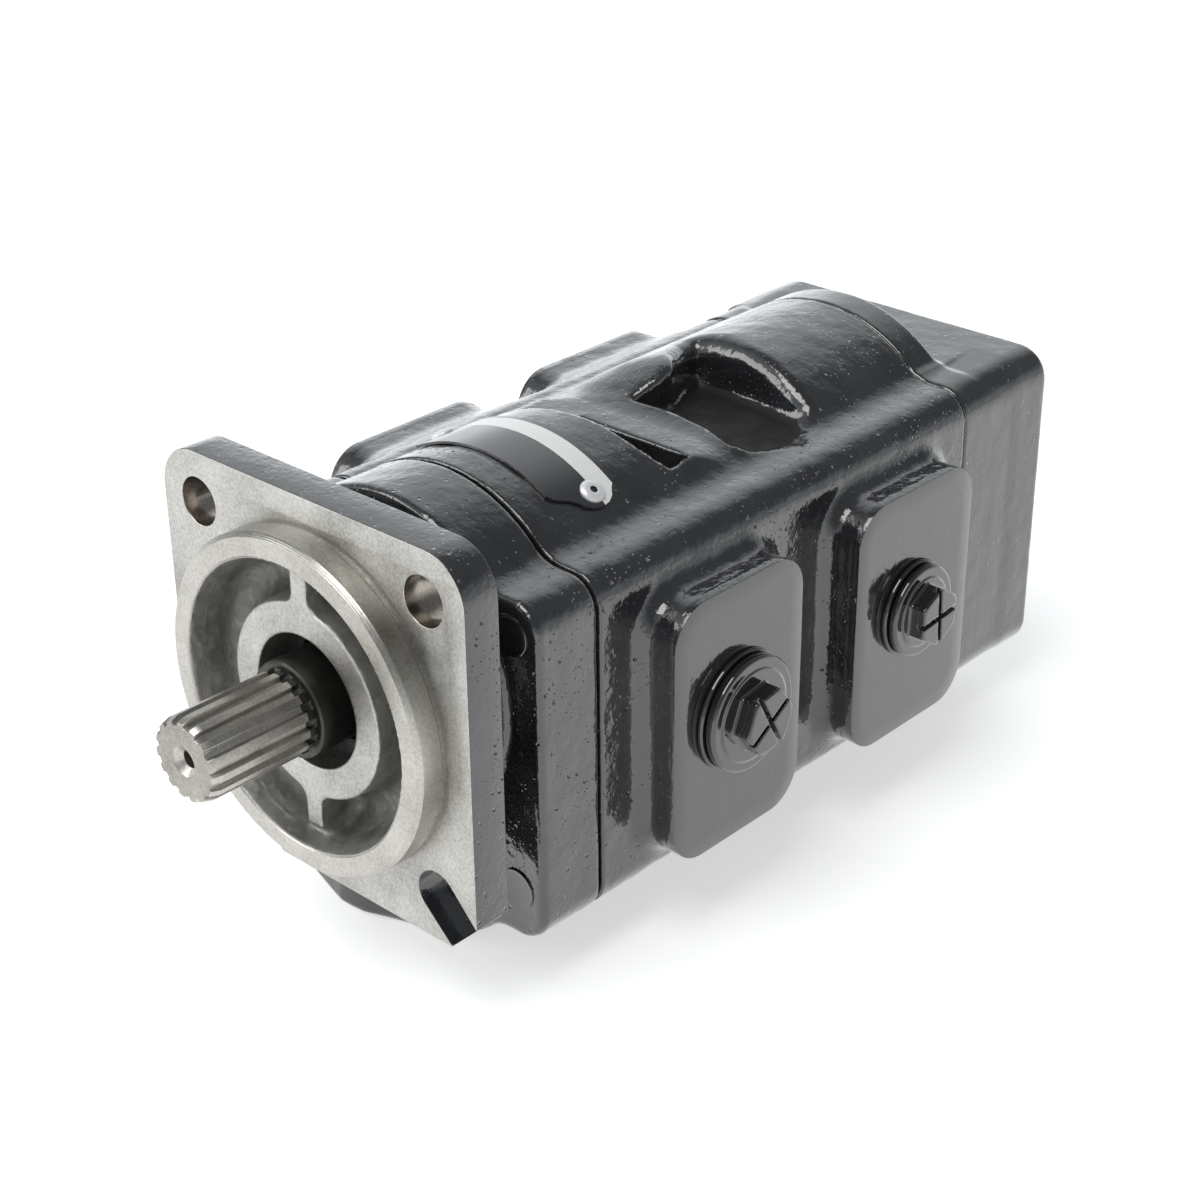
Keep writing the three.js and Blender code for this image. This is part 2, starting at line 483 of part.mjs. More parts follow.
// ---------------------------------------------------------------- port plugs
PORT_Y.forEach((py, i) => {
  const pl = PLUG[i];
  for (const [s, tag] of [[1, 'outlet'], [-1, 'inlet']]) {
    const x = (v) => s * v;
    const name = `${i === 0 ? 'front' : 'rear'}_${tag}`;
    const washer = turnX([[pl.shank + 0.4, x(70.3)], [pl.flange + 0.6, x(70.3)], [pl.flange + 0.8, x(71)], [pl.flange + 0.6, x(71.8)],
      [pl.shank + 0.4, x(71.8)], [pl.shank + 0.4, x(70.3)]], 28, py, PORT_Z);
    node(`${name}_plug_washer`, washer, 'black');
    const rc = pl.af / Math.sqrt(3);
    let plug = turnX([[0, x(58)], [pl.shank - 0.8, x(58)], [pl.shank, x(59)], [pl.shank, x(72.1)], [pl.flange, x(72.1)],
      [pl.flange, x(pl.xFlange - 0.7)], [pl.flange - 0.7, x(pl.xFlange)], [0, x(pl.xFlange)]], 28, py, PORT_Z);
    const hex = prism(arc(py, PORT_Z, rc, pl.corner, pl.corner + 360, 6).slice(0, 6), Math.min(x(pl.xFlange - 1), x(pl.xHex)), Math.max(x(pl.xFlange - 1), x(pl.xHex)), alongX);
    plug = plug.add(hex);
    for (const a of pl.slots) {
      const d = [Math.cos(rad(a)), Math.sin(rad(a))], n = [-d[1] * 0.7, d[0] * 0.7], L = 14;
      const q = [[1, 1], [-1, 1], [-1, -1], [1, -1]].map(([e, f]) => [py + d[0] * L * e + n[0] * f, PORT_Z + d[1] * L * e + n[1] * f]);
      const lo = x(pl.xHex - 5.2), hi = x(pl.xHex + 2);
      plug = plug.subtract(prism(q, Math.min(lo, hi), Math.max(lo, hi), alongX));
    }
    node(`${name}_port_plug`, plug, 'black');
  }
});

// ---------------------------------------------------------------- nameplate and drive rivets
{
  const ri = R_ARCH + 0.3, ro = R_ARCH + 1.0;
  const shell = prism([...arc(0, 0, ro, 48, 132, 24), ...arc(0, 0, ri, 132, 48, 24)], 60, 95);
  // plan outline in (angle, y), straight across the top with a shaped tab at each end
  const plan = [[-28, 64.8], [28, 64.8], [33, 68], [35.5, 72.4], [38.8, 74.6], [40.4, 79.4], [38.6, 84.6], [35.2, 86.6], [32.5, 90], [26, 88.2],
    [-26, 88.2], [-32.5, 90], [-35.2, 86.6], [-38.6, 84.6], [-40.4, 79.4], [-38.8, 74.6], [-35.5, 72.4], [-33, 68]];
  const cutter = prism(plan.map(([a, y]) => [ro * Math.sin(rad(a)), y]), 20, 60, alongZ);
  const holes = [55.4, 124.6].map((a) => {
    const g = new THREE.CylinderGeometry(2.0, 2.0, 8, 12);
    g.translate(0, 52, 0);
    g.rotateX(Math.PI / 2);
    g.rotateY(-rad(a - 90));
    g.translate(0, 79.4, 0);
    return solid(g);
  });
  node('nameplate', minus(shell.intersect(cutter), holes), 'plate');
  [['right', 55.4], ['left', 124.6]].forEach(([tag, a]) => {
    const b0 = R_ARCH + 1.3;
    const g = new THREE.LatheGeometry([[0, 46.4], [1.4, 46.4], [1.4, b0], [3.8, b0], [3.7, b0 + 0.6], [2.8, b0 + 1.3], [1, b0 + 1.7], [0, b0 + 1.7]].map(([r, y]) => new THREE.Vector2(r, y)), 16);
    g.rotateX(Math.PI / 2);
    g.rotateY(-rad(a - 90));
    g.translate(0, 79.4, 0);
    node(`nameplate_rivet_${tag}`, solid(g), 'bright');
  });
}

export default group;
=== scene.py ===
import bpy, math
import numpy as np
from mathutils import Matrix, Vector


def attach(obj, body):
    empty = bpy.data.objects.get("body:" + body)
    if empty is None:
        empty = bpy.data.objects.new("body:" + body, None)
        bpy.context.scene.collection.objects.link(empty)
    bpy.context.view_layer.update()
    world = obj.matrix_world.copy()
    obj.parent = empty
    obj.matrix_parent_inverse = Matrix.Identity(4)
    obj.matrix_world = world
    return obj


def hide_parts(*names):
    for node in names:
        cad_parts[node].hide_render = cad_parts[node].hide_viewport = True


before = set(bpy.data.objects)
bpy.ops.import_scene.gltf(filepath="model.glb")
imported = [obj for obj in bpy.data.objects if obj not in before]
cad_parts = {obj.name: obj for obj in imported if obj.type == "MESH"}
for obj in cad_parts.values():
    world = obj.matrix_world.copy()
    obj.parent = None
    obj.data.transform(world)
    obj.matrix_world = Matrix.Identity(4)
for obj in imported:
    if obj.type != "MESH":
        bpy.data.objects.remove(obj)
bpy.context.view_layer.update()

# Pump coordinates in millimetres, as in the CAD source: drive axis on Y, flange face at y = 0.
Y_MID = 112.0
Z_BOT = 38.0 + 51.6 * math.cos(math.radians(42.6 / 9))
PAD_X = 70.0
W, Z_SH, C2 = 57.2, 34.8, 38.0


def to_m(v):
    v = np.asarray(v, float).reshape(-1, 3)
    return np.c_[v[:, 0], v[:, 1] - Y_MID, v[:, 2] + Z_BOT] / 1000.0


# ------------------------------------------------------------------ mesh helpers
def make(name, verts, faces, mats, body="housing", nodes=(), slot=None, face_mat=None, flat=False, sharp=None):
    """verts in pump millimetres; faces a list of index lists or an (n, k) array."""
    me = bpy.data.meshes.new(name)
    v = to_m(verts)
    if isinstance(faces, np.ndarray):
        n, k = faces.shape
        me.vertices.add(len(v))
        me.vertices.foreach_set("co", v.astype(np.float32).ravel())
        me.loops.add(n * k)
        me.loops.foreach_set("vertex_index", faces.astype(np.int32).ravel())
        me.polygons.add(n)
        me.polygons.foreach_set("loop_start", (np.arange(n) * k).astype(np.int32))
        me.update(calc_edges=True)
    else:
        me.from_pydata([tuple(p) for p in v], [], [tuple(f) for f in faces])
        me.update()
    for m in mats if isinstance(mats, (list, tuple)) else [mats]:
        me.materials.append(m)
    if face_mat is not None:
        me.polygons.foreach_set("material_index", np.asarray(face_mat, np.int32))
    me.polygons.foreach_set("use_smooth", np.full(len(me.polygons), not flat))
    me.update()
    ob = bpy.data.objects.new(name, me)
    bpy.context.scene.collection.objects.link(ob)
    if sharp is not None:
        me.set_sharp_from_angle(angle=math.radians(sharp))
    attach(ob, body)
    if nodes:
        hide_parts(*nodes)
    return ob


def loops_to_faces(n_rings, n, close=False):
    f = []
    last = n_rings if close else n_rings - 1
    for k in range(last):
        a, b = k * n, ((k + 1) % n_rings) * n
        for i in range(n):
            j = (i + 1) % n
            f.append((a + i, b + i, b + j, a + j))
    return f


def lathe(profile, segs=96, axis="y", centre=(0, 0), close=False):
    """profile = [(radius, station)]; closed profiles wrap round, open ones start and end on the axis."""
    v = []
    for r, s in profile:
        for i in range(segs):
            a = 2 * math.pi * i / segs
            c, d = r * math.cos(a), r * math.sin(a)
            v.append((centre[0] + c, s, centre[1] + d) if axis == "y" else (s, centre[0] + c, centre[1] + d))
    f = loops_to_faces(len(profile), segs, close)
    if axis == "x":
        f = [tuple(reversed(q)) for q in f]
    # a ring on the axis collapses to a point
    v = np.array(v)
    return weld(v, f)


def weld(v, f, tol=1e-5):
    key = np.round(v / tol).astype(np.int64)
    u, first, inv = np.unique(key, axis=0, return_index=True, return_inverse=True)
    inv = inv.ravel()
    out = []
    for q in f:
        w = []
        for i in q:
            k = int(inv[i])
            if not w or w[-1] != k:
                w.append(k)
        if len(w) > 1 and w[0] == w[-1]:
            w.pop()
        if len(w) > 2 and len(set(w)) == len(w):
            out.append(tuple(w))
    return v[first], out


def outward(v, f):
    """flips every face if the closed mesh is inside out"""
    vol = 0.0
    for q in f:
        a = v[q[0]]
        for i in range(1, len(q) - 1):
            vol += np.dot(a, np.cross(v[q[i]], v[q[i + 1]]))
    return [tuple(reversed(q)) for q in f] if vol < 0 else f


def solid(name, vf, *args, **kw):
    v, f = vf
    return make(name, v, outward(v, f), *args, **kw)


# ------------------------------------------------------------------ distance fields
def ru(a, b, r):
    """union with a hollow fillet of radius r"""
    return np.maximum(r, np.minimum(a, b)) - np.sqrt(np.maximum(r - a, 0) ** 2 + np.maximum(r - b, 0) ** 2)


def rx(a, b, r):
    """intersection with its edge rounded to radius r"""
    return np.minimum(-r, np.maximum(a, b)) + np.sqrt(np.maximum(r + a, 0) ** 2 + np.maximum(r + b, 0) ** 2)


def slab(t, lo, hi):
    return np.abs(t - (lo + hi) / 2) - (hi - lo) / 2


def rrect(u, v, u0, u1, v0, v1, r):
    qu = np.abs(u - (u0 + u1) / 2) - (u1 - u0) / 2 + r
    qv = np.abs(v - (v0 + v1) / 2) - (v1 - v0) / 2 + r
    return np.sqrt(np.maximum(qu, 0) ** 2 + np.maximum(qv, 0) ** 2) + np.minimum(np.maximum(qu, qv), 0) - r


def arc(cx, cz, r, a0, a1, n):
    t = np.radians(np.linspace(a0, a1, n + 1))
    return [(cx + r * math.cos(a), cz + r * math.sin(a)) for a in t]


class Outline:
    """signed distance to a closed outline, kept on a fine grid"""

    def __init__(self, pts, lo, hi, h=0.4):
        self.lo, self.h = np.array(lo, float), h
        n = np.ceil((np.array(hi) - self.lo) / h).astype(int) + 2
        u = self.lo[0] + h * np.arange(n[0])
        v = self.lo[1] + h * np.arange(n[1])
        U, V = np.meshgrid(u, v, indexing="ij")
        p = np.array(pts, float)
        q = np.roll(p, -1, axis=0)
        best = np.full(U.shape, 1e9)
        inside = np.zeros(U.shape, bool)
        for (ax, ay), (bx, by) in zip(p, q):
            ex, ey = bx - ax, by - ay
            wx, wy = U - ax, V - ay
            t = np.clip((wx * ex + wy * ey) / max(ex * ex + ey * ey, 1e-12), 0, 1)
            best = np.minimum(best, (wx - ex * t) ** 2 + (wy - ey * t) ** 2)
            if abs(ey) > 1e-12:
                cross = ((ay > V) != (by > V)) & (U < ex * (V - ay) / ey + ax)
                inside ^= cross
        d = np.sqrt(best)
        self.d = np.where(inside, -d, d).astype(np.float32)
        self.n = n

    def __call__(self, u, v):
        fu = np.clip((u - self.lo[0]) / self.h, 0, self.n[0] - 1.001)
        fv = np.clip((v - self.lo[1]) / self.h, 0, self.n[1] - 1.001)
        iu, iv = fu.astype(np.int32), fv.astype(np.int32)
        tu, tv = fu - iu, fv - iv
        d = self.d
        return (d[iu, iv] * (1 - tu) + d[iu + 1, iv] * tu) * (1 - tv) + (d[iu, iv + 1] * (1 - tu) + d[iu + 1, iv + 1] * tu) * tv


CORNERS = [(i, j, k) for i in (0, 1) for j in (0, 1) for k in (0, 1)]
EDGES = [(a, b) for a in CORNERS for b in CORNERS if a < b and sum(abs(x - y) for x, y in zip(a, b)) == 1]


def net(f, lo, hi, h):
    """closed quad mesh of the surface f = 0 inside the box, with its points moved onto the surface"""
    lo, hi = np.array(lo, float), np.array(hi, float)
    n = np.ceil((hi - lo) / h).astype(int) + 1
    x, y, z = (lo[i] + h * np.arange(n[i]) for i in range(3))
    D = f(x[:, None, None], y[None, :, None], z[None, None, :]).astype(np.float32)
    D = np.ascontiguousarray(np.broadcast_to(D, tuple(n)))
    S = D < 0
    cnt = np.zeros(tuple(n - 1), np.uint8)
    for a in CORNERS:
        cnt += S[a[0]:n[0] - 1 + a[0], a[1]:n[1] - 1 + a[1], a[2]:n[2] - 1 + a[2]]
    act = (cnt > 0) & (cnt < 8)
    idx = np.argwhere(act)
    ids = np.full(act.shape, -1, np.int32)
    ids[act] = np.arange(len(idx), dtype=np.int32)
    acc, num = np.zeros((len(idx), 3)), np.zeros(len(idx))
    for a, b in EDGES:
        da = D[idx[:, 0] + a[0], idx[:, 1] + a[1], idx[:, 2] + a[2]].astype(float)
        db = D[idx[:, 0] + b[0], idx[:, 1] + b[1], idx[:, 2] + b[2]].astype(float)
        m = (da < 0) != (db < 0)
        t = np.where(m, da / np.where(m, da - db, 1), 0)
        acc[m] += (np.array(a) + (np.array(b) - np.array(a)) * t[:, None])[m]
        num[m] += 1
    v = (idx + acc / num[:, None]) * h + lo
    quads = []
    for ax in range(3):
        s0 = np.take(S, range(n[ax] - 1), axis=ax)
        s1 = np.take(S, range(1, n[ax]), axis=ax)
        e = np.argwhere(s0 != s1)
        b, c = (ax + 1) % 3, (ax + 2) % 3
        ok = (e[:, b] > 0) & (e[:, c] > 0) & (e[:, b] < n[b] - 1) & (e[:, c] < n[c] - 1)
        e = e[ok]
        inside = s0[e[:, 0], e[:, 1], e[:, 2]]
        ring = []
        for ob_, oc in ((-1, -1), (0, -1), (0, 0), (-1, 0)):
            k = e.copy()
            k[:, b] += ob_
            k[:, c] += oc
            ring.append(ids[k[:, 0], k[:, 1], k[:, 2]])
        q = np.stack(ring, 1)
        q[~inside] = q[~inside][:, ::-1]
        quads.append(q)
    quads = np.concatenate(quads)
    for _ in range(3):
        d = f(v[:, 0], v[:, 1], v[:, 2])
        e = 0.04
        g = np.stack([(f(v[:, 0] + e * (i == 0), v[:, 1] + e * (i == 1), v[:, 2] + e * (i == 2)) - f(v[:, 0] - e * (i == 0), v[:, 1] - e * (i == 1), v[:, 2] - e * (i == 2))) / (2 * e) for i in range(3)], 1)
        g2 = np.maximum((g ** 2).sum(1), 0.2)
        step = np.clip(d / g2, -0.5 * h, 0.5 * h)
        v = v - g * step[:, None]
    return v, quads, g / np.sqrt(g2)[:, None]


_rng = np.random.default_rng(7)
_LAT = _rng.random((32, 32, 32)).astype(np.float32) * 2 - 1


def wobble(v, size):
    """smooth value noise of feature size `size` mm, between -1 and 1"""
    p = v / size
    i = np.floor(p).astype(int)
    t = p - i
    t = t * t * (3 - 2 * t)
    out = 0
    for a in CORNERS:
        w = np.ones(len(v))
        for k in range(3):
            w = w * (t[:, k] if a[k] else 1 - t[:, k])
        out = out + w * _LAT[(i[:, 0] + a[0]) % 32, (i[:, 1] + a[1]) % 32, (i[:, 2] + a[2]) % 32]
    return out


# ------------------------------------------------------------------ materials
def material(name, **sockets):
    m = bpy.data.materials.new(name)
    m.use_nodes = True
    nt = m.node_tree
    b = nt.nodes["Principled BSDF"]
    for k, val in sockets.items():
        b.inputs[k.replace("_", " ")].default_value = val
    return m, nt, b


class G:
    """small node-graph helper on object coordinates"""

    def __init__(self, nt):
        self.nt = nt
        self.co = nt.nodes.new("ShaderNodeTexCoord").outputs["Object"]

    def scaled(self, s):
        n = self.nt.nodes.new("ShaderNodeMapping")
        n.inputs["Scale"].default_value = s if isinstance(s, (tuple, list)) else (s, s, s)
        self.nt.links.new(self.co, n.inputs["Vector"])
        return n.outputs["Vector"]

    def noise(self, scale, detail=3, rough=0.5, vec=None, dist=0.0):
        n = self.nt.nodes.new("ShaderNodeTexNoise")
        n.inputs["Scale"].default_value = scale
        n.inputs["Detail"].default_value = detail
        n.inputs["Roughness"].default_value = rough
        n.inputs["Distortion"].default_value = dist
        self.nt.links.new(vec or self.co, n.inputs["Vector"])
        return n.outputs["Fac"]

    def voronoi(self, scale, feature="F1", rand=1.0, vec=None):
        n = self.nt.nodes.new("ShaderNodeTexVoronoi")
        n.feature = feature
        n.inputs["Scale"].default_value = scale
        n.inputs["Randomness"].default_value = rand
        self.nt.links.new(vec or self.co, n.inputs["Vector"])
        return n.outputs["Distance"]

    def ramp(self, fac, stops):
        n = self.nt.nodes.new("ShaderNodeValToRGB")
        el = n.color_ramp.elements
        while len(el) < len(stops):
            el.new(0.5)
        for e, (p, c) in zip(el, stops):
            e.position = p
            e.color = (c, c, c, 1) if isinstance(c, (int, float)) else (*c, 1)
        self.nt.links.new(fac, n.inputs["Fac"])
        return n.outputs["Color"]

    def math(self, op, a, b=None, clamp=False):
        n = self.nt.nodes.new("ShaderNodeMath")
        n.operation = op
        n.use_clamp = clamp
        for i, s in enumerate((a, b)):
            if s is None:
                continue
            if isinstance(s, (int, float)):
                n.inputs[i].default_value = s
            else:
                self.nt.links.new(s, n.inputs[i])
        return n.outputs[0]

    def mix(self, fac, a, b):
        n = self.nt.nodes.new("ShaderNodeMix")
        n.data_type = "RGBA"
        for key, s in (("Factor", fac), ("A", a), ("B", b)):
            sock = [q for q in n.inputs if q.name == key and (q.type == "RGBA" if key != "Factor" else q.type == "VALUE")][0]
            if isinstance(s, (tuple, list)):
                sock.default_value = (*s, 1)
            elif isinstance(s, (int, float)):
                sock.default_value = s
            else:
                self.nt.links.new(s, sock)
        return [q for q in n.outputs if q.type == "RGBA"][0]

    def bump(self, height, strength, dist_mm, normal=None):
        n = self.nt.nodes.new("ShaderNodeBump")
        n.invert = strength < 0
        n.inputs["Strength"].default_value = min(abs(strength), 1.0)
        n.inputs["Distance"].default_value = dist_mm / 1000 * max(abs(strength), 1.0)
        self.nt.links.new(height, n.inputs["Height"])
        if normal is not None:
            self.nt.links.new(normal, n.inputs["Normal"])
        return n.outputs["Normal"]

    def xyz(self):
        n = self.nt.nodes.new("ShaderNodeSeparateXYZ")
        self.nt.links.new(self.co, n.inputs[0])
        return n.outputs[0], n.outputs[1], n.outputs[2]


def paint(name, lumps, pits, base=(0.012, 0.0125, 0.0135), rough=0.1):
    """glossy black enamel; lumps and pits set how much sand-cast skin shows through"""
    m, nt, b = material(name, Metallic=0.0, IOR=1.6, Coat_Weight=1.0, Coat_Roughness=0.045, Coat_IOR=1.52)
    g = G(nt)
    tone = g.noise(38, 4, 0.6)
    nt.links.new(g.mix(g.ramp(tone, [(0.35, 0.0), (0.7, 1.0)]), base, tuple(c * 1.9 + 0.003 for c in base)), b.inputs["Base Color"])
    nt.links.new(g.ramp(g.noise(120, 3, 0.6), [(0.3, rough * 0.7), (0.75, rough * 1.9)]), b.inputs["Roughness"])
    n1 = g.bump(g.noise(150, 4, 0.6), 1.0 * lumps, 0.55)
    n2 = g.bump(g.ramp(g.voronoi(420), [(0.0, 0.0), (0.45, 1.0)]), 0.4 * lumps, 0.22, n1)
    # scattered pits and grains of the sand mould
    spots = g.ramp(g.voronoi(260), [(0.05, 0.0), (0.17, 1.0)])
    patchy = g.ramp(g.noise(60, 3, 0.6), [(0.48, 0.0), (0.56, 1.0)])
    n3 = g.bump(g.math("MULTIPLY", g.math("SUBTRACT", 1.0, spots), patchy), -0.85 * pits, 0.55, n2)
    grain = g.ramp(g.voronoi(620), [(0.04, 1.0), (0.2, 0.0)])
    n4 = g.bump(g.math("MULTIPLY", grain, g.ramp(g.noise(80, 3), [(0.5, 0.0), (0.62, 1.0)])), 1.0 * pits, 0.4, n3)
    nt.links.new(n4, b.inputs["Normal"])
    nt.links.new(n4, b.inputs["Coat Normal"])
    return m


def machined(name, base, rough, grain=0.25, ring=0.0, stain=0.35, aniso=0.0, blast=1.0):
    """bare machined metal: fine blasted grain, faint turning rings, light staining"""
    m, nt, b = material(name, Metallic=1.0, Anisotropic=aniso)
    g = G(nt)
    dark = tuple(c * (1 - stain) * k for c, k in zip(base, (1.0, 0.985, 0.95)))
    spk = g.noise(1150, 2, 0.7)
    tone = g.math("MULTIPLY", g.ramp(g.noise(42, 5, 0.62), [(0.34, 0.0), (0.72, 1.0)]), 0.55)
    fine = g.ramp(spk, [(0.42, 0.0), (0.6, 1.0)])
    col = g.mix(g.math("ADD", tone, g.math("MULTIPLY", fine, 0.34), clamp=True), base, dark)
    nt.links.new(col, b.inputs["Base Color"])
    nt.links.new(g.ramp(g.noise(220, 4, 0.65), [(0.3, rough * 0.85), (0.7, rough * 1.2)]), b.inputs["Roughness"])
    n1 = g.bump(g.noise(900, 3, 0.7), grain * blast, 0.06)
    if ring:
        x, y, z = g.xyz()
        r = g.math("SQRT", g.math("ADD", g.math("MULTIPLY", x, x), g.math("POWER", g.math("SUBTRACT", z, Z_BOT / 1000), 2.0)))
        wave = g.math("SINE", g.math("MULTIPLY", r, 2 * math.pi / 0.00045))
        wave2 = g.math("SINE", g.math("MULTIPLY", y, 2 * math.pi / 0.00045))
        n1 = g.bump(g.math("ADD", wave, wave2), ring, 0.02, n1)
    nt.links.new(n1, b.inputs["Normal"])
    return m


def simple(name, base, rough, metal=0.0, scale=400, bump=0.2, vary=0.25, **kw):
    m, nt, b = material(name, Metallic=metal, **kw)
    g = G(nt)
    nt.links.new(g.mix(g.noise(scale * 0.2, 4, 0.6), tuple(c * (1 - vary) for c in base), tuple(min(1, c * (1 + vary)) for c in base)), b.inputs["Base Color"])
    nt.links.new(g.ramp(g.noise(scale * 0.5, 3), [(0.3, rough * 0.8), (0.7, min(1, rough * 1.25))]), b.inputs["Roughness"])
    nt.links.new(g.bump(g.noise(scale * 2, 3, 0.6), bump, 0.08), b.inputs["Normal"])
    return m


M_CAST = paint("cast_paint", 0.6, 1.0)
M_CAST_FINE = paint("cast_paint_fine", 0.22, 0.35)
# painted shade: dull, dark, low-reflecting paint for the inside of the top pocket
M_POCKET_SHADE = simple("pocket_shade_paint", (0.011, 0.011, 0.0115), 0.62, scale=300, bump=0.5, Specular_IOR_Level=0.35)
M_SMOOTH = paint("smooth_paint", 0.14, 0.0, rough=0.09)
M_PLUG = paint("plug_paint", 0.08, 0.0, base=(0.009, 0.009, 0.0095), rough=0.07)
M_FACE = machined("flange_face_iron", (0.56, 0.55, 0.525), 0.44, grain=1.0, stain=0.55)
M_TURN = machined("turned_iron", (0.54, 0.525, 0.49), 0.3, grain=0.4, ring=0.35, stain=0.45)
M_SHAFT = machined("spline_steel", (0.62, 0.6, 0.56), 0.34, grain=0.35, stain=0.5)
M_SHAFT_END = machined("shaft_end_steel", (0.42, 0.40, 0.365), 0.4, grain=0.5, stain=0.5)
M_JOURNAL = simple("journal_steel", (0.055, 0.054, 0.05), 0.32, metal=0.85, bump=0.15)
M_STEEL = machined("ground_steel", (0.5, 0.5, 0.5), 0.25, grain=0.12, stain=0.2)
M_DARKSTEEL = simple("dark_bolt_steel", (0.06, 0.06, 0.065), 0.35, metal=0.9)
M_RUBBER = simple("nitrile_rubber", (0.012, 0.012, 0.012), 0.6, bump=0.35)
M_ALU = simple("bearing_aluminium", (0.62, 0.62, 0.64), 0.35, metal=1.0)
M_BRONZE = simple("bush_bronze", (0.55, 0.38, 0.2), 0.38, metal=1.0)
M_RIVET = simple("rivet_aluminium", (0.82, 0.82, 0.83), 0.4, metal=0.35, bump=0.08, vary=0.08)
M_SPRING = simple("spring_steel", (0.05, 0.05, 0.055), 0.4, metal=0.8)
M_WHITE = simple("plate_white", (0.8, 0.8, 0.79), 0.3, bump=0.12, vary=0.05)
M_PLATE = simple("plate_black", (0.022, 0.022, 0.024), 0.2, bump=0.1, IOR=1.7, Coat_Weight=0.7, Coat_Roughness=0.08)
M_RECESS = None


def recess_material():
    """bare sand-cast iron of the recess, dark and rough, with painted shade that darkens it towards the floor"""
    m, nt, b = material("recess_iron", Metallic=0.75)
    g = G(nt)
    x, y, z = g.xyz()
    # painted shade: the colour runs from the lighter to the darker cast-iron mix deeper into the recess
    recess_shade = g.ramp(g.math("MULTIPLY", g.math("SUBTRACT", y, (-9.5 - Y_MID) / 1000), 55.0, clamp=True), [(0.0, 0.0), (0.9, 1.0)])
    spot = g.ramp(g.noise(110, 5, 0.7), [(0.32, 0.0), (0.7, 1.0)])
    light = g.mix(spot, (0.46, 0.45, 0.43), (0.3, 0.29, 0.28))
    dark = g.mix(spot, (0.27, 0.265, 0.25), (0.15, 0.148, 0.14))
    nt.links.new(g.mix(recess_shade, light, dark), b.inputs["Base Color"])
    nt.links.new(g.ramp(g.noise(300, 3), [(0.3, 0.42), (0.7, 0.62)]), b.inputs["Roughness"])
    n1 = g.bump(g.noise(240, 5, 0.65), 0.6, 0.5)
    n2 = g.bump(g.voronoi(600), 0.3, 0.15, n1)
    nt.links.new(n2, b.inputs["Normal"])
    return m


M_RECESS = recess_material()

# ------------------------------------------------------------------ casting section
def body_pts():
    xf = math.sqrt((51.6 + 12) ** 2 - 46.8 ** 2)
    th = math.degrees(math.atan2(46.8, xf))
    upper = arc(W - 10, Z_SH - 10, 10, 0, 90, 16) + arc(xf, 46.8, 12, 270, 180 + th, 12)
    upper += arc(0, 0, 51.6, th, 180 - th, 60)[1:-1]
    upper += arc(-xf, 46.8, 12, -th, -90, 12) + arc(-W + 14.5, Z_SH - 14.5, 14.5, 90, 180, 20)
    return upper + [(x, -C2 - z) for x, z in reversed(upper)]


def block_pts(top):
    zb = -C2 - Z_SH
    return arc(W - 10, top - 10, 10, 0, 90, 16) + arc(-W + 14.5, top - 14.5, 14.5, 90, 180, 20) + arc(-W + 14.5, zb + 14.5, 14.5, 180, 270, 20) + arc(W - 10, zb + 10, 10, 270, 360, 16)


SEC = Outline(body_pts(), (-62, -94), (62, 56))
BLK = Outline(block_pts(36.0), (-62, -94), (62, 56))
ZT = Z_BOT - C2
FOOT = Outline([(-4, 20), (57, 20), (56.9, 28), (56, 32.5), (54, 37), (51, 43), (48.6, 47.6), (47, 49.6), (45, ZT), (-4, ZT)], (-20, 10), (70, 56))
STEP = [(-19, 100.3), (0, 102.3), (17, 104.7), (23, 106), (28, 108), (31.6, 110.4)]
SADDLE = Outline([(-44, 97.8)] + STEP + [(36, 114.5), (42, 119), (46, 123), (46, 160), (-44, 160)], (-48, 92), (50, 164))
SLOT = Outline([(-12, 101.2), (0, 102.3)] + STEP[2:] + [(30.6, 120.1), (-12, 120.1)], (-20, 96), (40, 126))
POCKET = Outline([(-7.5, 138.6), (31, 137.2), (36, 141), (38.5, 147), (38.8, 156), (38, 163), (36, 168.3), (31, 172), (14, 174.4), (0, 175.4), (-9, 175.9), (-12.6, 174.4), (-12, 169.5), (-4.5, 153), (-4.5, 147)], (-24, 130), (50, 184))
BORE_BOLTS = [(-47, 24.5), (47, 24.5), (-47, -56.5), (47, -56.5)]


def eight(x, z, r):
    return np.minimum(np.sqrt(x * x + z * z), np.sqrt(x * x + (z + C2) ** 2)) - r


PADS = [(1, 69, 125.5, -61.3, 22.0), (1, 152.4, 210.8, -61.3, 21.6), (-1, 68, 134.5, -67, 29), (-1, 150.5, 218, -67, 29)]


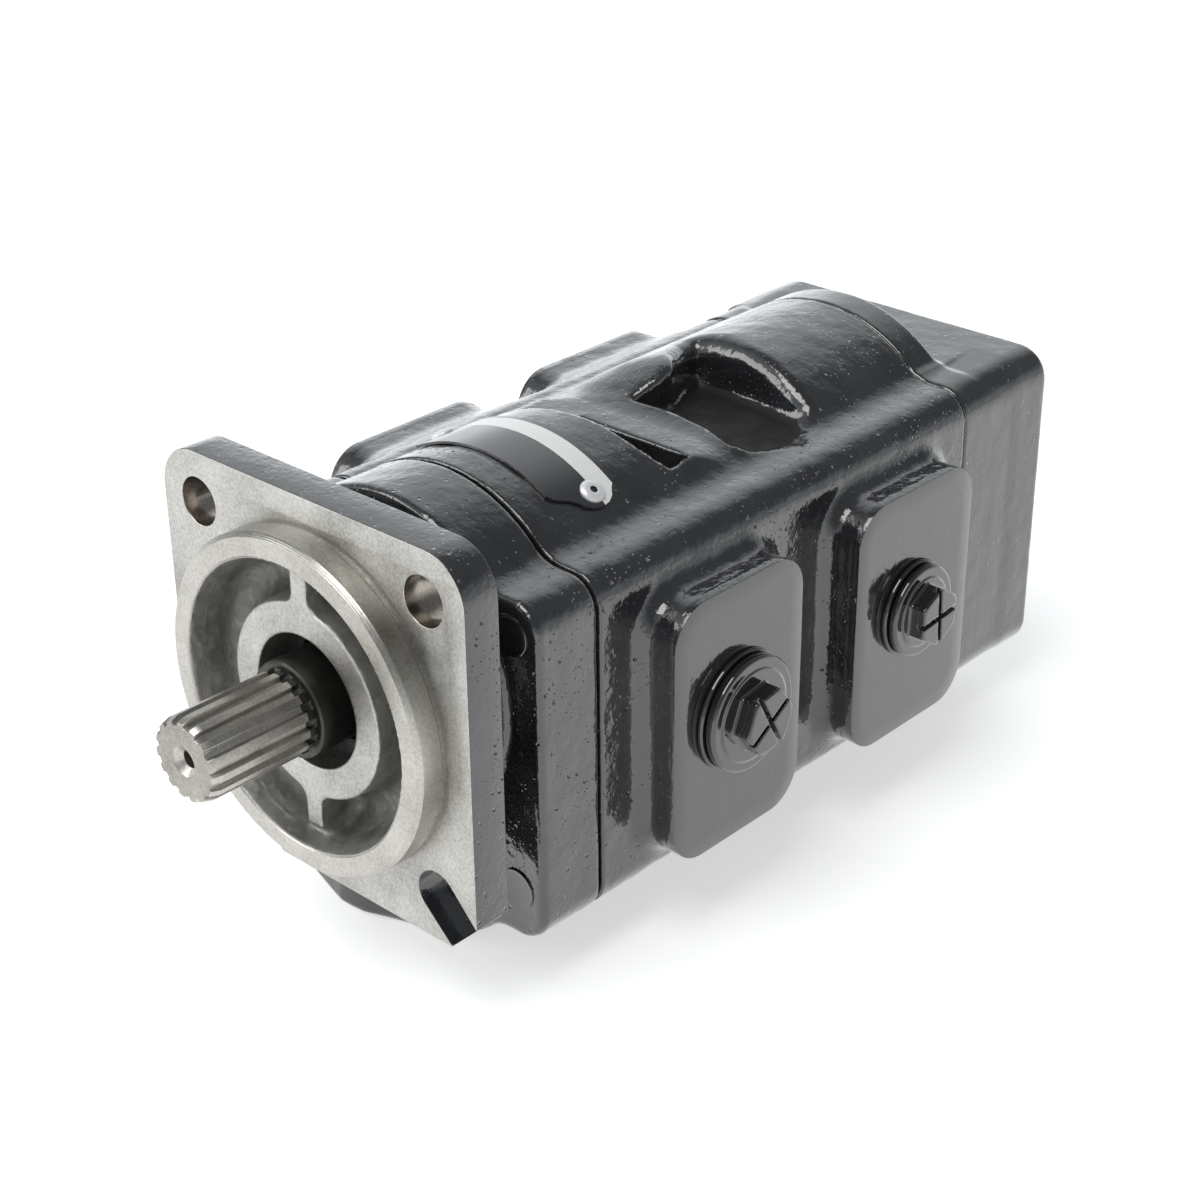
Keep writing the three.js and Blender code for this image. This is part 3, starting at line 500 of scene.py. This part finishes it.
def f_main(x, y, z):
    d = rx(SEC(x, z), slab(y, 52.9, 224.0), 0.45)
    foot = rx(FOOT(-x, -C2 - z), slab(y, 103.8, 120.3), 0.9)
    foot = np.maximum(foot, -Z_BOT - z)
    d = ru(d, foot, 1.5)
    pads = None
    for s, y0, y1, z0, z1 in PADS:
        pr = rrect(y, z, y0, y1, z0, z1, 12.5)
        grow = np.clip((62 - s * x) / 8, 0, 1) * 0.8
        p = rx(pr - grow, slab(s * x, 40, PAD_X - 1.0), 0.55)
        pads = p if pads is None else np.minimum(pads, p)
    d = ru(d, pads, 5.2)
    # flat saddle with a ramp up to the rear arch, the slot behind the front arch, the open pocket
    ramp = (10.5 * (y - 139.0) - 9.5 * (z - 41.0)) / 14.16
    saddle = rx(rx(SADDLE(x, y), 41.0 - z, 1.5), ramp, 7.0)
    back = np.clip((y - 122) / 14, 0, 1)
    d = rx(d, -saddle, 0.8 + 7.5 * back)
    slot = rx(SLOT(x, y), 30.5 - z, 2.0)
    soft = np.clip((y - 112) / 6, 0, 1) * np.clip((30 - x) / 4, 0, 1)
    d = rx(d, -slot, 0.3 + 1.3 * soft)
    pocket = rx(POCKET(x, y), 34.4 - z, 4.0)
    rim = 0.9 + 4.8 * np.clip((y - 146) / 14, 0, 1) + 1.2 * np.clip((4 - x) / 8, 0, 1)
    d = rx(d, -pocket, rim)
    inner = rx(eight(x, z, 22.2), np.minimum(slab(y, 40, 135.5), slab(y, 141.5, 240)), 0.4)
    d = np.maximum(d, -inner)
    return rx(d, -Z_BOT + 0.15 - z, 0.4)


def f_front(x, y, z):
    sec = SEC(x, z)
    block = rx(sec, slab(y, 28.5, 52.6), 2.4)
    block = np.maximum(block, rx(sec, slab(y, 20, 52.6), 0.45))
    r = np.sqrt(x * x + z * z)
    neck = rx(r - 46.0, slab(y, 10.0, 40.0), 0.5)
    d = ru(block, neck, 3.0)
    plan = LUMP(x, y)
    lump = rx(plan, np.sqrt(x * x + (z + C2) ** 2) - 51.4, 3.0)
    lump = np.maximum(lump, z + 42)
    d = ru(d, lump, 3.0)
    d = np.maximum(d, 12.02 - y)
    d = np.maximum(d, 16.2 - r)
    d = np.maximum(d, -np.maximum(r - 21, slab(y, 0, 20)))
    return rx(d, -Z_BOT + 0.15 - z, 0.4)


LUMP = Outline([(-40, 40), (-40, 18.5), (-36, 17.4), (-17, 17.4), (-10, 19.8), (-4, 23.2), (4, 26.4), (14, 28.2), (14, 40)], (-62, 0), (62, 60))


def f_rear(x, y, z):
    sec = SEC(x, z)
    fade = np.clip((54.5 - np.abs(x)) / 9, 0.02, 1) * np.clip((z + C2 / 2 + 200) / 10, 0.02, 1)
    rim = rx(rx(sec, y - 237.2, 1.7 * fade), 224.3 - y, 0.45 + 0.25 * fade)
    t = np.clip((y - 226) / 30, 0, 1)
    top = BLK(x, z) - 0.55 * np.clip((y - 240) / 28, 0, 1)
    blk = np.minimum(np.maximum(top, sec), top + 1.2 * (1 - t))
    block = rx(rx(blk, y - 270, 2.0), 224.3 - y, 0.45)
    d = ru(rim, block, 2.2 * fade)
    for bx, bz in BORE_BOLTS:
        r = np.sqrt((x - bx) ** 2 + (z - bz) ** 2)
        if bx < 0:
            d = ru(d, rx(r - 10.05, slab(y, 240, 269.6), 1.0), 0.8)                 # keeps a wall round the counterbore at the long corner radius
        d = rx(d, -rx(r - 8.65, slab(y, 254, 290), 0.3), 0.35)
    for cz in (0.0, -C2):
        r = np.sqrt(x * x + (z - cz) ** 2)
        d = np.maximum(d, -np.maximum(r - 16.3, slab(y, 200, 238.3)))
    return d


def f_recess(x, y, z):
    r = np.sqrt(x * x + z * z)
    wall = (43.45 - 0.09 * (y + 9.3)) - r
    floor = 8.0 - y
    bowl = ru(wall, floor, 6.5)
    # hub and ribs share the flat face at y = -4
    hub = r - (29.3 + 0.1 * (y + 4))
    ribw = 3.1 + 0.07 * (y + 4)
    rib = np.abs(x) - ribw
    plan = ru(hub, np.maximum(rib, 20 - np.abs(z)), 3.6)
    fade = ((-z - 39.6) * 7.0 - (y + 4) * 3.4) / 7.78
    cap = np.maximum(-4.0 - y, np.where(z < 0, fade, -20.0))
    centre = rx(plan, cap, 0.5)
    d = ru(bowl, centre, 4.2)
    d = rx(d, 20.0 - r, 0.55)
    d = np.maximum(d, r - 46.0)
    d = np.maximum(d, -9.2 - y)
    d = np.maximum(d, y - 12.5)
    return d


def casting(name, f, lo, hi, h, nodes, amp=0.14, skin=None):
    v, q, nrm = net(f, lo, hi, h)
    rough = amp * wobble(v, 7.0) + 0.5 * amp * wobble(v + 31.7, 3.1)
    keep = np.ones(len(v))
    keep *= np.clip((PAD_X - 0.9 - np.abs(v[:, 0])) / 0.8, 0, 1)                    # pad faces are milled flat
    for ys in (52.75, 224.15, 12.0):
        keep *= np.clip(np.abs(v[:, 1] - ys) / 1.5, 0, 1)                           # joint faces are machined
    keep *= np.clip((v[:, 2] + Z_BOT - 0.5) / 1.5, 0, 1) * (eight(v[:, 0], v[:, 2], 22.2) > 1.5)
    v = v + nrm * (rough * keep)[:, None]
    # the inside of the top pocket takes a dull, dark, low-reflecting paint as painted shade
    fc = v[q].mean(1)
    inside = (POCKET(fc[:, 0], fc[:, 1]) < -0.9) & (fc[:, 2] < 40.2) & (fc[:, 2] > 30) & (fc[:, 1] < 180)
    return make(name, v, q, [skin or M_CAST, M_POCKET_SHADE], nodes=nodes, slot="casting_paint", face_mat=inside.astype(int))


def round_rect(u0, u1, v0, v1, r, n=12):
    return arc(u1 - r, v1 - r, r, 0, 90, n) + arc(u0 + r, v1 - r, r, 90, 180, n) + arc(u0 + r, v0 + r, r, 180, 270, n) + arc(u1 - r, v0 + r, r, 270, 360, n)


for s_, y0, y1, z0, z1 in PADS:
    rs = []
    for xx, o in ((64.0, -0.5), (66.5, 0.06), (69.72, 0.04), (69.93, -0.06), (PAD_X, -0.28), (PAD_X, -6.0)):
        rs.append([(s_ * xx, a, b) for a, b in round_rect(y0 - o, y1 + o, z0 - o, z1 + o, 12.5 + o)])
    n = len(rs[0])
    v = np.concatenate([np.array(r, float) for r in rs])
    f = loops_to_faces(len(rs), n) + [tuple(range(n)), tuple(range((len(rs) - 1) * n, len(rs) * n))]
    f[-2] = tuple(reversed(f[-2]))
    fm = [1 if abs(v[list(q)][:, 0]).min() > 69.9 else 0 for q in f]
    if s_ < 0:
        f = [tuple(reversed(q)) for q in f]
    f = outward(v, f)
    make(f"{'front' if y0 < 140 else 'rear'}_{'outlet' if s_ > 0 else 'inlet'}_pad_face", v, f, [M_CAST, M_SMOOTH], nodes=["main_housing"], slot="casting_paint", face_mat=fm, sharp=30)

casting("main_housing_casting", f_main, (-71.6, 51.6, -91), (71.6, 225.3, 53), 0.85, ["main_housing"])
casting("front_cover_casting", f_front, (-59, 10.6, -91), (59, 54, 53.2), 0.8, ["front_cover"])
casting("rear_cover_casting", f_rear, (-59, 223, -91), (59, 271.4, 53.2), 0.85, ["rear_cover"], amp=0.08, skin=M_CAST_FINE)

v, q, nrm = net(f_recess, (-47, -10.2, -47), (47, 13.6, 47), 0.55)
fc = v[q].mean(1)
rr = np.hypot(fc[:, 0], fc[:, 2])
fn = nrm[q].mean(1)
isface = ((fc[:, 1] < -3.6) & (fc[:, 1] > -5) & (fn[:, 1] < -0.6) & (rr < 43.6)) | (rr < 20.5)
amp = (1 - np.clip(-(v[:, 1] + 3.4) * 4, 0, 1) * (np.hypot(v[:, 0], v[:, 2]) < 43.0)) * (np.hypot(v[:, 0], v[:, 2]) > 21) * (v[:, 1] > -8.6)
v = v + nrm * ((0.2 * wobble(v, 4.5) + 0.12 * wobble(v + 9, 2.0)) * amp)[:, None]
make("front_cover_recess", v, q, [M_RECESS, M_FACE], nodes=["front_cover"], slot="casting_paint", face_mat=isface.astype(int))

# ------------------------------------------------------------------ flange plate, pilot, seal bore
def plate_from_outline(outer, holes, y0, y1, bevel, name, mats, **kw):
    cu = bpy.data.curves.new(name, "CURVE")
    cu.dimensions = "2D"
    cu.fill_mode = "BOTH"
    cu.extrude = (y1 - y0) / 2 - bevel
    cu.bevel_depth = bevel
    cu.bevel_resolution = 2
    cu.offset = -bevel
    for pts in [outer] + holes:
        sp = cu.splines.new("POLY")
        sp.points.add(len(pts) - 1)
        for p, (a, b) in zip(sp.points, pts):
            p.co = (a, b, 0, 1)
        sp.use_cyclic_u = True
    ob = bpy.data.objects.new(name + "_c", cu)
    bpy.context.scene.collection.objects.link(ob)
    bpy.context.view_layer.update()
    me = ob.evaluated_get(bpy.context.evaluated_depsgraph_get()).to_mesh()
    v = np.array([p.co for p in me.vertices])
    f = [tuple(p.vertices) for p in me.polygons]
    bpy.data.objects.remove(ob)
    v = np.c_[v[:, 0], -v[:, 2] + (y0 + y1) / 2, v[:, 1]]
    v, f = weld(v, f, 1e-4)
    return v, outward(v, f)


def flange_outline():
    h, b, r = 60.0, 44.9, 7.2
    q = r * math.sqrt(2)
    cut = 57 * math.sqrt(2) - h
    pts = [(-h, -cut), (-cut, -h), (h - q - 0.4, -h), (h - q + 0.15, -h + 0.45)]
    pts += arc(b, -b, r, 225, 45, 28)
    pts += [(h - 0.45, -h + q - 0.15), (h, -h + q + 0.4)]
    pts += arc(h - 14, h - 14, 14, 0, 90, 20) + arc(-h + 14, h - 14, 14, 90, 180, 20)
    return pts


v, f = plate_from_outline(flange_outline(), [arc(-44.9, 44.9, 7.2, 0, 360, 48)[:-1], arc(44.9, 44.9, 7.2, 0, 360, 48)[:-1], arc(0, 0, 45.8, 0, 360, 96)[:-1]], 0.0, 12.0, 0.3, "flange", None)
fm = []
for p in f:
    c = v[list(p)].mean(0)
    hole = min(math.hypot(c[0] - a, c[2] - b) for a, b in ((-44.9, 44.9), (44.9, 44.9))) < 7.6
    fm.append(1 if c[1] < 0.06 else (2 if hole else 0))
M_HOLE = machined("drilled_iron", (0.55, 0.5, 0.45), 0.22, grain=0.25, stain=0.5)
make("front_cover_flange", v, f, [M_CAST, M_FACE, M_HOLE], nodes=["front_cover"], slot="casting_paint", face_mat=fm, sharp=35)

solid("front_cover_pilot", lathe([(43.62, 2.5), (43.62, -9.0), (44.1, -9.5), (49.2, -9.5), (49.5, -9.45), (50.65, -8.3), (50.8, -8.0), (50.8, -1.5), (50.2, -0.8), (50.2, 0.3), (51.6, 0.3), (51.6, 1.5), (46.5, 2.5)], 192, close=True), M_TURN, nodes=["front_cover"], slot="casting_paint", sharp=25)
solid("front_cover_seal_bore", lathe([(20.0, 7.5), (20.0, 9.4), (21.2, 9.4), (21.2, 11.2), (20.0, 11.2), (20.0, 19.4), (16.2, 19.4), (16.2, 21), (22.5, 21), (22.5, 7.5)], 96, close=True), M_TURN, nodes=["front_cover"], slot="casting_paint", sharp=30)

# ------------------------------------------------------------------ splined shaft and gear
def rings(rs, n):
    v = np.concatenate([np.array(r, float) for r in rs])
    return weld(v, loops_to_faces(len(rs), n))


def circle(r, y, n, cx=0.0, cz=0.0, rot=0.0):
    a = 2 * np.pi * np.arange(n) / n + rot
    return np.c_[cx + r * np.cos(a), np.full(n, y), cz + r * np.sin(a)]


NT, SUB = 15, 16
NS = NT * SUB


def spline_ring(y, tip, root, flare=0.0):
    out = []
    for k in range(NT):
        c = math.radians(90 + 24 * k)
        prof = [(-12, root), (-10, root), (-8.4, root), (-7.5, root + 0.1), (-6.9, root + (tip - root) * 0.35), (-6.2, root + (tip - root) * 0.7), (-5.5, tip - 0.08), (-4.9, tip),
                (0, tip), (4.9, tip), (5.5, tip - 0.08), (6.2, root + (tip - root) * 0.7), (6.9, root + (tip - root) * 0.35), (7.5, root + 0.1), (8.4, root), (10, root)]
        for a, r in prof:
            r = min(r, tip)
            t = c + math.radians(a)
            out.append((r * math.cos(t), y, r * math.sin(t)))
    return np.array(out)


A0 = math.radians(90 - 12)


def rnd(r, y):
    """round ring whose points follow the spline's own angles"""
    s = spline_ring(y, 12.45, 10.95)
    a = np.arctan2(s[:, 2], s[:, 0])
    return np.c_[r * np.cos(a), np.full(NS, y), r * np.sin(a)]


shaft = [rnd(1e-4, -31.0), rnd(2.55, -32.5), rnd(2.6, -43.9), rnd(3.0, -44.3), rnd(4.4, -45.85), rnd(4.65, -46.0),
         rnd(9.9, -46.0), spline_ring(-46.0, 11.5, 10.45), spline_ring(-45.7, 11.75, 10.6), spline_ring(-43.3, 12.4, 10.7), spline_ring(-43.0, 12.45, 10.7), spline_ring(-30, 12.45, 10.7),
         spline_ring(-13.2, 12.45, 10.7), spline_ring(-11.0, 12.45, 11.6), spline_ring(-10.55, 12.45, 12.2), rnd(12.4, -10.5), rnd(13.7, -10.5), rnd(14.3, -9.9), rnd(14.3, 80.5), rnd(13.0, 81), rnd(1e-4, 81.0)]
v, f = rings(shaft, NS)
f = outward(v, f)
fm = [1 if v[list(q)][:, 1].mean() > -13.15 else (2 if v[list(q)][:, 1].mean() < -46.01 or (v[list(q)][:, 1].mean() < -45.9 and np.hypot(v[list(q)][:, 0], v[list(q)][:, 2]).max() < 13) else 0) for q in f]
make("drive_spline_shaft", v, f, [M_SHAFT, M_JOURNAL, M_SHAFT_END], body="front_drive", nodes=["front_drive_gear_shaft"], slot="gear_steel", face_mat=fm, sharp=28)


def gear_pts(cx, cz, phase, n=12):
    rp, al = 19.0, math.radians(25)
    m, rb = 38.0 / n, 19.0 * math.cos(math.radians(25))
    ro, rr_ = rp + 0.9 * m, rp - 1.18 * m
    inv = lambda a: math.tan(a) - a
    half = math.pi / (2 * n) - 0.16 / rp
    at = lambda r: half + inv(al) - inv(math.acos(min(1, rb / r)))
    radii = [rb + 0.02, 17.6, 18.2, 19.0, 19.8, 20.8, ro - 0.15]
    pts = []
    for k in range(n):
        c = math.radians(phase) + 2 * math.pi * k / n
        put = lambda r, a: pts.append((cx + r * math.cos(c + a), cz + r * math.sin(c + a)))
        root = at(rb + 0.02)
        put(rr_, -root - 0.05)
        put(rr_ + 0.35, -root - 0.012)
        for r in radii:
            put(r, -at(r))
        put(ro, -at(ro) + 0.01)
        put(ro, 0)
        put(ro, at(ro) - 0.01)
        for r in reversed(radii):
            put(r, at(r))
        put(rr_ + 0.35, root + 0.012)
        put(rr_, root + 0.05)
    return pts


def gear_piece(name, cz, phase, y0, y1, j0, j1, body, node):
    out = gear_pts(0, cz, phase)
    n = len(out)
    o = np.array(out)
    ctr = np.array([0, cz])
    ang = np.arctan2(o[:, 1] - cz, o[:, 0])
    ring = lambda y, s: np.c_[ctr[0] + (o[:, 0] - ctr[0]) * s, np.full(n, y), ctr[1] + (o[:, 1] - ctr[1]) * s]
    cir = lambda r, y: np.c_[r * np.cos(ang), np.full(n, y), cz + r * np.sin(ang)]
    rs = [cir(1e-4, j0), cir(13.5, j0), cir(14.3, j0 + 0.8), cir(14.3, y0), ring(y0, 0.985), ring(y0 + 0.3, 1.0), ring(y1 - 0.3, 1.0), ring(y1, 0.985), cir(14.3, y1), cir(14.3, j1 - 0.8), cir(13.5, j1), cir(1e-4, j1)]
    solid(name, rings(rs, n), M_STEEL, body=body, nodes=[node], slot="gear_steel", sharp=30)


gear_piece("front_drive_gear", 0.0, -90, 81, 114, 80.9, 135, "front_drive", "front_drive_gear_shaft")
gear_piece("front_driven_gear_piece", -C2, 105, 81, 114, 53.6, 135, "front_driven", "front_driven_gear")
gear_piece("rear_drive_gear_piece", 0.0, -90, 164.5, 197.5, 142, 236, "rear_drive", "rear_drive_gear_shaft")
gear_piece("rear_driven_gear_piece", -C2, 105, 164.5, 197.5, 142, 236, "rear_driven", "rear_driven_gear")

# ------------------------------------------------------------------ port plugs and washers
PLUGS = [
    dict(y=97.2, flange=18.0, af=18.0, xf=75.5, xh=82.0, ang=8.0, slots=[118, 32], sx=7.0),
    dict(y=181.0, flange=15.0, af=17.0, xf=74.9, xh=81.0, ang=28.0, slots=[93, 5], sx=7.0),
]


def f_plug(p):
    def f(x, y, z):
        u, w = y - p["y"], z + 19.0
        r = np.sqrt(u * u + w * w)
        disc = rx(r - p["flange"], slab(x, 72.1, p["xf"]), 1.15)
        step = rx(r - (p["flange"] - 3.6), slab(x, 70.5, p["xf"] + 0.45), 0.5)
        hexd = None
        for k in range(3):
            a = math.radians(p["ang"] + 30 + 60 * k)
            h = np.abs(u * math.cos(a) + w * math.sin(a)) - p["af"] / 2
            hexd = h if hexd is None else rx(hexd, h, 0.45)
        hexd = rx(hexd, slab(x, 71.0, p["xh"]), 0.5)
        # turned chamfer that takes the hexagon's corners off
        cone = (r + (x - p["xh"]) * 1.75 - (p["af"] / 2 + 0.35)) / 2.0
        hexd = rx(hexd, cone, 0.3)
        d = ru(ru(disc, step, 0.4), hexd, 0.9)
        for s in p["slots"]:
            a = math.radians(s)
            g = rx(np.abs(-u * math.sin(a) + w * math.cos(a)) - 0.78, (p["xh"] - 2.3) - x, 0.25)
            d = rx(d, -g, 0.22)
        return np.maximum(d, 71.6 - x)
    return f


def f_washer(p):
    def f(x, y, z):
        r = np.sqrt((y - p["y"]) ** 2 + (z + 19.0) ** 2)
        return rx(rx(r - (p["flange"] + 0.7), 12.0 - r, 0.3), slab(x, 70.05, 71.9), 0.75)
    return f


for i, p in enumerate(PLUGS):
    R = p["flange"] + 2
    tag = ("front", "rear")[i]
    v, q, _ = net(f_plug(p), (71.0, p["y"] - R, -19 - R), (83.2, p["y"] + R, -19 + R), 0.36)
    for s, side in ((1, "outlet"), (-1, "inlet")):
        vv = v * np.array([s, 1, 1])
        qq = q if s == 1 else q[:, ::-1]
        make(f"{tag}_{side}_plug_body", vv, np.ascontiguousarray(qq), M_PLUG, nodes=[f"{tag}_{side}_port_plug"], slot="plug_paint")
        ro = p["flange"] + 0.75
        prof = [(12.0, 70.06), (ro - 0.4, 70.06), (ro - 0.05, 70.4), (ro, 70.9), (ro - 0.05, 71.4), (ro - 0.4, 71.85), (12.0, 71.85)]
        solid(f"{tag}_{side}_washer", lathe([(a, s * b) for a, b in prof], 128, axis="x", centre=(p["y"], -19.0), close=True), M_PLUG, nodes=[f"{tag}_{side}_plug_washer"], slot="plug_paint", sharp=40)

# ------------------------------------------------------------------ through bolts
def hexring(af, y, n, cx, cz):
    a = 2 * np.pi * np.arange(n) / n
    k = np.mod(a + np.pi / 6, np.pi / 3) - np.pi / 6
    r = af / 2 / np.cos(k)
    return np.c_[cx + r * np.cos(a), np.full(n, y), cz + r * np.sin(a)]


for (bx, bz), tag in zip(BORE_BOLTS, ("top_left", "top_right", "bottom_left", "bottom_right")):
    c = lambda r, y: circle(r, y, 48, bx, bz)
    rs = [c(1e-4, 28.28), c(5.0, 28.26), c(5.35, 28.2), c(5.75, 28.02), c(6.1, 28.0), c(6.3, 28.2), c(6.3, 28.9), c(6.0, 29.2), c(6.0, 256.3), c(8.3, 256.3), c(8.3, 265.6), c(8.1, 266.2), c(7.5, 266.7),
          c(6.0, 266.7), hexring(10.4, 266.6, 48, bx, bz), hexring(10.0, 266.2, 48, bx, bz), hexring(10.0, 261.2, 48, bx, bz), c(1e-4, 260.4)]
    solid(f"through_bolt_{tag}_piece", rings(rs, 48), M_PLUG, nodes=[f"through_bolt_{tag}"], slot="bolt_steel", sharp=30)

# ------------------------------------------------------------------ nameplate and rivets
def bent_plate(name, plan, r0, thick, step, mats, pick, nodes, holes=()):
    """flat outline in (arc length, y), cut into narrow strips and wrapped round the arch"""
    import bmesh
    bm = bmesh.new()
    vs = [bm.verts.new((s, y, 0)) for s, y in plan]
    bm.faces.new(vs)
    smin, smax = min(s for s, _ in plan), max(s for s, _ in plan)
    t = smin + step
    while t < smax - 0.2:
        bmesh.ops.bisect_plane(bm, geom=bm.verts[:] + bm.edges[:] + bm.faces[:], plane_co=(t, 0, 0), plane_no=(1, 0, 0))
        t += step
    for yy in pick["cuts"]:
        bmesh.ops.bisect_plane(bm, geom=bm.verts[:] + bm.edges[:] + bm.faces[:], plane_co=(0, yy, 0), plane_no=(0, 1, 0))
    ret = bmesh.ops.extrude_face_region(bm, geom=bm.faces[:])
    up = [e for e in ret["geom"] if isinstance(e, bmesh.types.BMVert)]
    for e in up:
        e.co.z = thick
    bm.verts.ensure_lookup_table()
    bmesh.ops.triangulate(bm, faces=[f for f in bm.faces if len(f.verts) > 4])
    bm.verts.index_update()
    v = np.array([tuple(p.co) for p in bm.verts])
    f = [tuple(p.index for p in q.verts) for q in bm.faces]
    fm = []
    for q in f:
        c = v[list(q)].mean(0)
        fm.append(pick["mat"](c))
    bm.free()
    a = v[:, 0] / 52.0
    r = r0 + v[:, 2]
    w = np.c_[r * np.sin(a), v[:, 1], r * np.cos(a)]
    vol = sum(np.dot(w[q[0]], np.cross(w[q[1]], w[q[2]])) + (np.dot(w[q[0]], np.cross(w[q[2]], w[q[3]])) if len(q) > 3 else 0) for q in f)
    if vol < 0:
        f = [tuple(reversed(q)) for q in f]
    return make(name, w, f, mats, nodes=nodes, slot="plate", face_mat=fm, sharp=30)


def tab(side):
    k = math.radians(1) * 52.0
    pts = [(29.5, 64.9), (31.5, 66.0), (32.8, 68.0), (34.2, 70.6), (36.1, 72.6), (38.4, 74.2), (39.8, 76.6), (40.4, 79.4), (39.8, 82.4), (38.2, 84.8), (36.1, 86.2), (34.6, 87.8), (33.4, 89.6), (32.2, 90.2), (30.4, 89.4)]
    return [(side * a * k, y) for a, y in pts]


plan = tab(1) + list(reversed(tab(-1)))
bent_plate("nameplate_piece", plan, 51.85, 0.75, 1.4, [M_PLATE, M_WHITE], {"cuts": [80.4, 87.6], "mat": lambda c: 1 if 80.4 < c[1] < 87.6 and c[2] > 0.6 else 0}, ["nameplate"])

for side, ang, tag in ((1, 34.6, "right"), (-1, 34.6, "left")):
    prof = [(1e-4, -1.0), (3.6, -1.0), (3.85, 0.15), (3.7, 0.55), (3.2, 0.95), (2.4, 1.25), (1.5, 1.35), (1.15, 1.2), (1.0, 0.7), (1e-4, 0.6)]
    v, f = lathe(prof, 40)
    v = np.array(v)
    a = side * math.radians(ang)
    out = v[:, 1] + 52.65
    w = np.c_[v[:, 0] * math.cos(a) + out * math.sin(a), v[:, 2] + 79.4, out * math.cos(a) - v[:, 0] * math.sin(a)]
    f = outward(w, f)
    # painted shade: the faces of the shallow centre hole take the black plug paint to stand in for a deep dark hole
    fm = [1 if np.hypot(v[list(q)][:, 0], v[list(q)][:, 2]).mean() < 1.12 else 0 for q in f]
    make(f"nameplate_rivet_{tag}_piece", w, f, [M_RIVET, M_PLUG], nodes=[f"nameplate_rivet_{tag}"], slot="rivet", face_mat=fm, sharp=35)

# ------------------------------------------------------------------ CAD nodes that stay
KEEP = {"seal_circlip": M_SPRING, "shaft_seal": M_RUBBER, "shaft_coupling": M_STEEL}
for n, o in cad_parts.items():
    if "bush" in n:
        m = M_BRONZE
    elif "bearing_block" in n:
        m = M_ALU
    elif "seal" in n and "circlip" not in n:
        m = M_RUBBER
    elif "washer" in n:
        m = M_DARKSTEEL
    else:
        m = KEEP.get(n, M_STEEL)
    o.data.materials.clear()
    o.data.materials.append(m)

# ------------------------------------------------------------------ stage, lights, camera
me = bpy.data.meshes.new("floor")
S = 9.0
me.from_pydata([(-S, -S, 0), (S, -S, 0), (S, S, 0), (-S, S, 0)], [], [(0, 1, 2, 3)])
floor = bpy.data.objects.new("floor", me)
bpy.context.scene.collection.objects.link(floor)
mf, nt, b = material("floor_white", Roughness=0.55)
g = G(nt)
nt.links.new(g.mix(g.noise(3, 3), (0.86, 0.86, 0.86), (0.89, 0.89, 0.89)), b.inputs["Base Color"])
b.inputs["Specular IOR Level"].default_value = 0.1
b.inputs["Emission Color"].default_value = (1, 1, 1, 1)
b.inputs["Emission Strength"].default_value = 0.55
me.materials.append(mf)


def area(name, loc, target, size, power, col=(1, 1, 1), sy=None):
    li = bpy.data.lights.new(name, "AREA")
    li.energy = power
    li.color = col
    li.shape = "RECTANGLE"
    li.size = size
    li.size_y = sy or size
    ob = bpy.data.objects.new(name, li)
    ob.location = loc
    ob.rotation_mode = "QUATERNION"
    ob.rotation_quaternion = (Vector(target) - Vector(loc)).to_track_quat("-Z", "Y")
    bpy.context.scene.collection.objects.link(ob)
    return ob


T = (0, 0, 0.07)
area("top_front", (0.1, -0.9, 1.9), T, 1.2, 20)
area("front_left", (-1.3, -1.5, 1.0), T, 1.2, 12)

w = bpy.data.worlds.new("studio")
bpy.context.scene.world = w
w.use_nodes = True
nt = w.node_tree
bg = nt.nodes["Background"]
tc = nt.nodes.new("ShaderNodeTexCoord").outputs["Generated"]


def wmath(op, a, b):
    n = nt.nodes.new("ShaderNodeMath")
    n.operation = op
    for i, s in enumerate((a, b)):
        if isinstance(s, (int, float)):
            n.inputs[i].default_value = s
        else:
            nt.links.new(s, n.inputs[i])
    return n.outputs[0]


def lobe(direction, c0, c1, value):
    n = nt.nodes.new("ShaderNodeVectorMath")
    n.operation = "DOT_PRODUCT"
    nt.links.new(tc, n.inputs[0])
    n.inputs[1].default_value = Vector(direction).normalized()
    m = nt.nodes.new("ShaderNodeMapRange")
    m.interpolation_type = "SMOOTHSTEP"
    nt.links.new(n.outputs["Value"], m.inputs["Value"])
    for k, val in (("From Min", c0), ("From Max", c1), ("To Min", 0.0), ("To Max", value)):
        m.inputs[k].default_value = val
    return m.outputs["Result"]


sky = lobe((0, 0, 1), 0.42, 0.05, 0.5)                        # pale horizon all round
sky = wmath("ADD", sky, lobe((-0.62, 0.66, 0.42), 0.66, 0.99, 0.75))   # big soft panel behind on the left
sky = wmath("ADD", sky, lobe((-0.5, -0.8, 0.5), 0.6, 0.98, 0.5))
sky = wmath("ADD", sky, 0.2)
nt.links.new(sky, bg.inputs["Strength"])
bg.inputs["Color"].default_value = (0.935, 0.972, 1.0, 1)

cam = bpy.data.cameras.new("camera")
cam.sensor_width = 36.0
cam.lens = 69.32
co = bpy.data.objects.new("camera", cam)
bpy.context.scene.collection.objects.link(co)
az, el_, roll = math.radians(42.78), math.radians(27.67), math.radians(-0.51)
back = Vector((math.sin(az) * math.cos(el_), -math.cos(az) * math.cos(el_), math.sin(el_)))
right = Vector((math.cos(az), math.sin(az), 0))
up = back.cross(right)
R_ = math.cos(roll) * right + math.sin(roll) * up
U_ = -math.sin(roll) * right + math.cos(roll) * up
mt = Matrix((R_, U_, back)).transposed().to_4x4()
mt.translation = Vector((0.42968, -0.34982 - Y_MID / 1000, 0.31664 + Z_BOT / 1000))
co.matrix_world = mt
cam.clip_start, cam.clip_end = 0.02, 60
bpy.context.scene.camera = co
bpy.context.scene.view_settings.view_transform = "Standard"
bpy.context.scene.view_settings.look = "None"
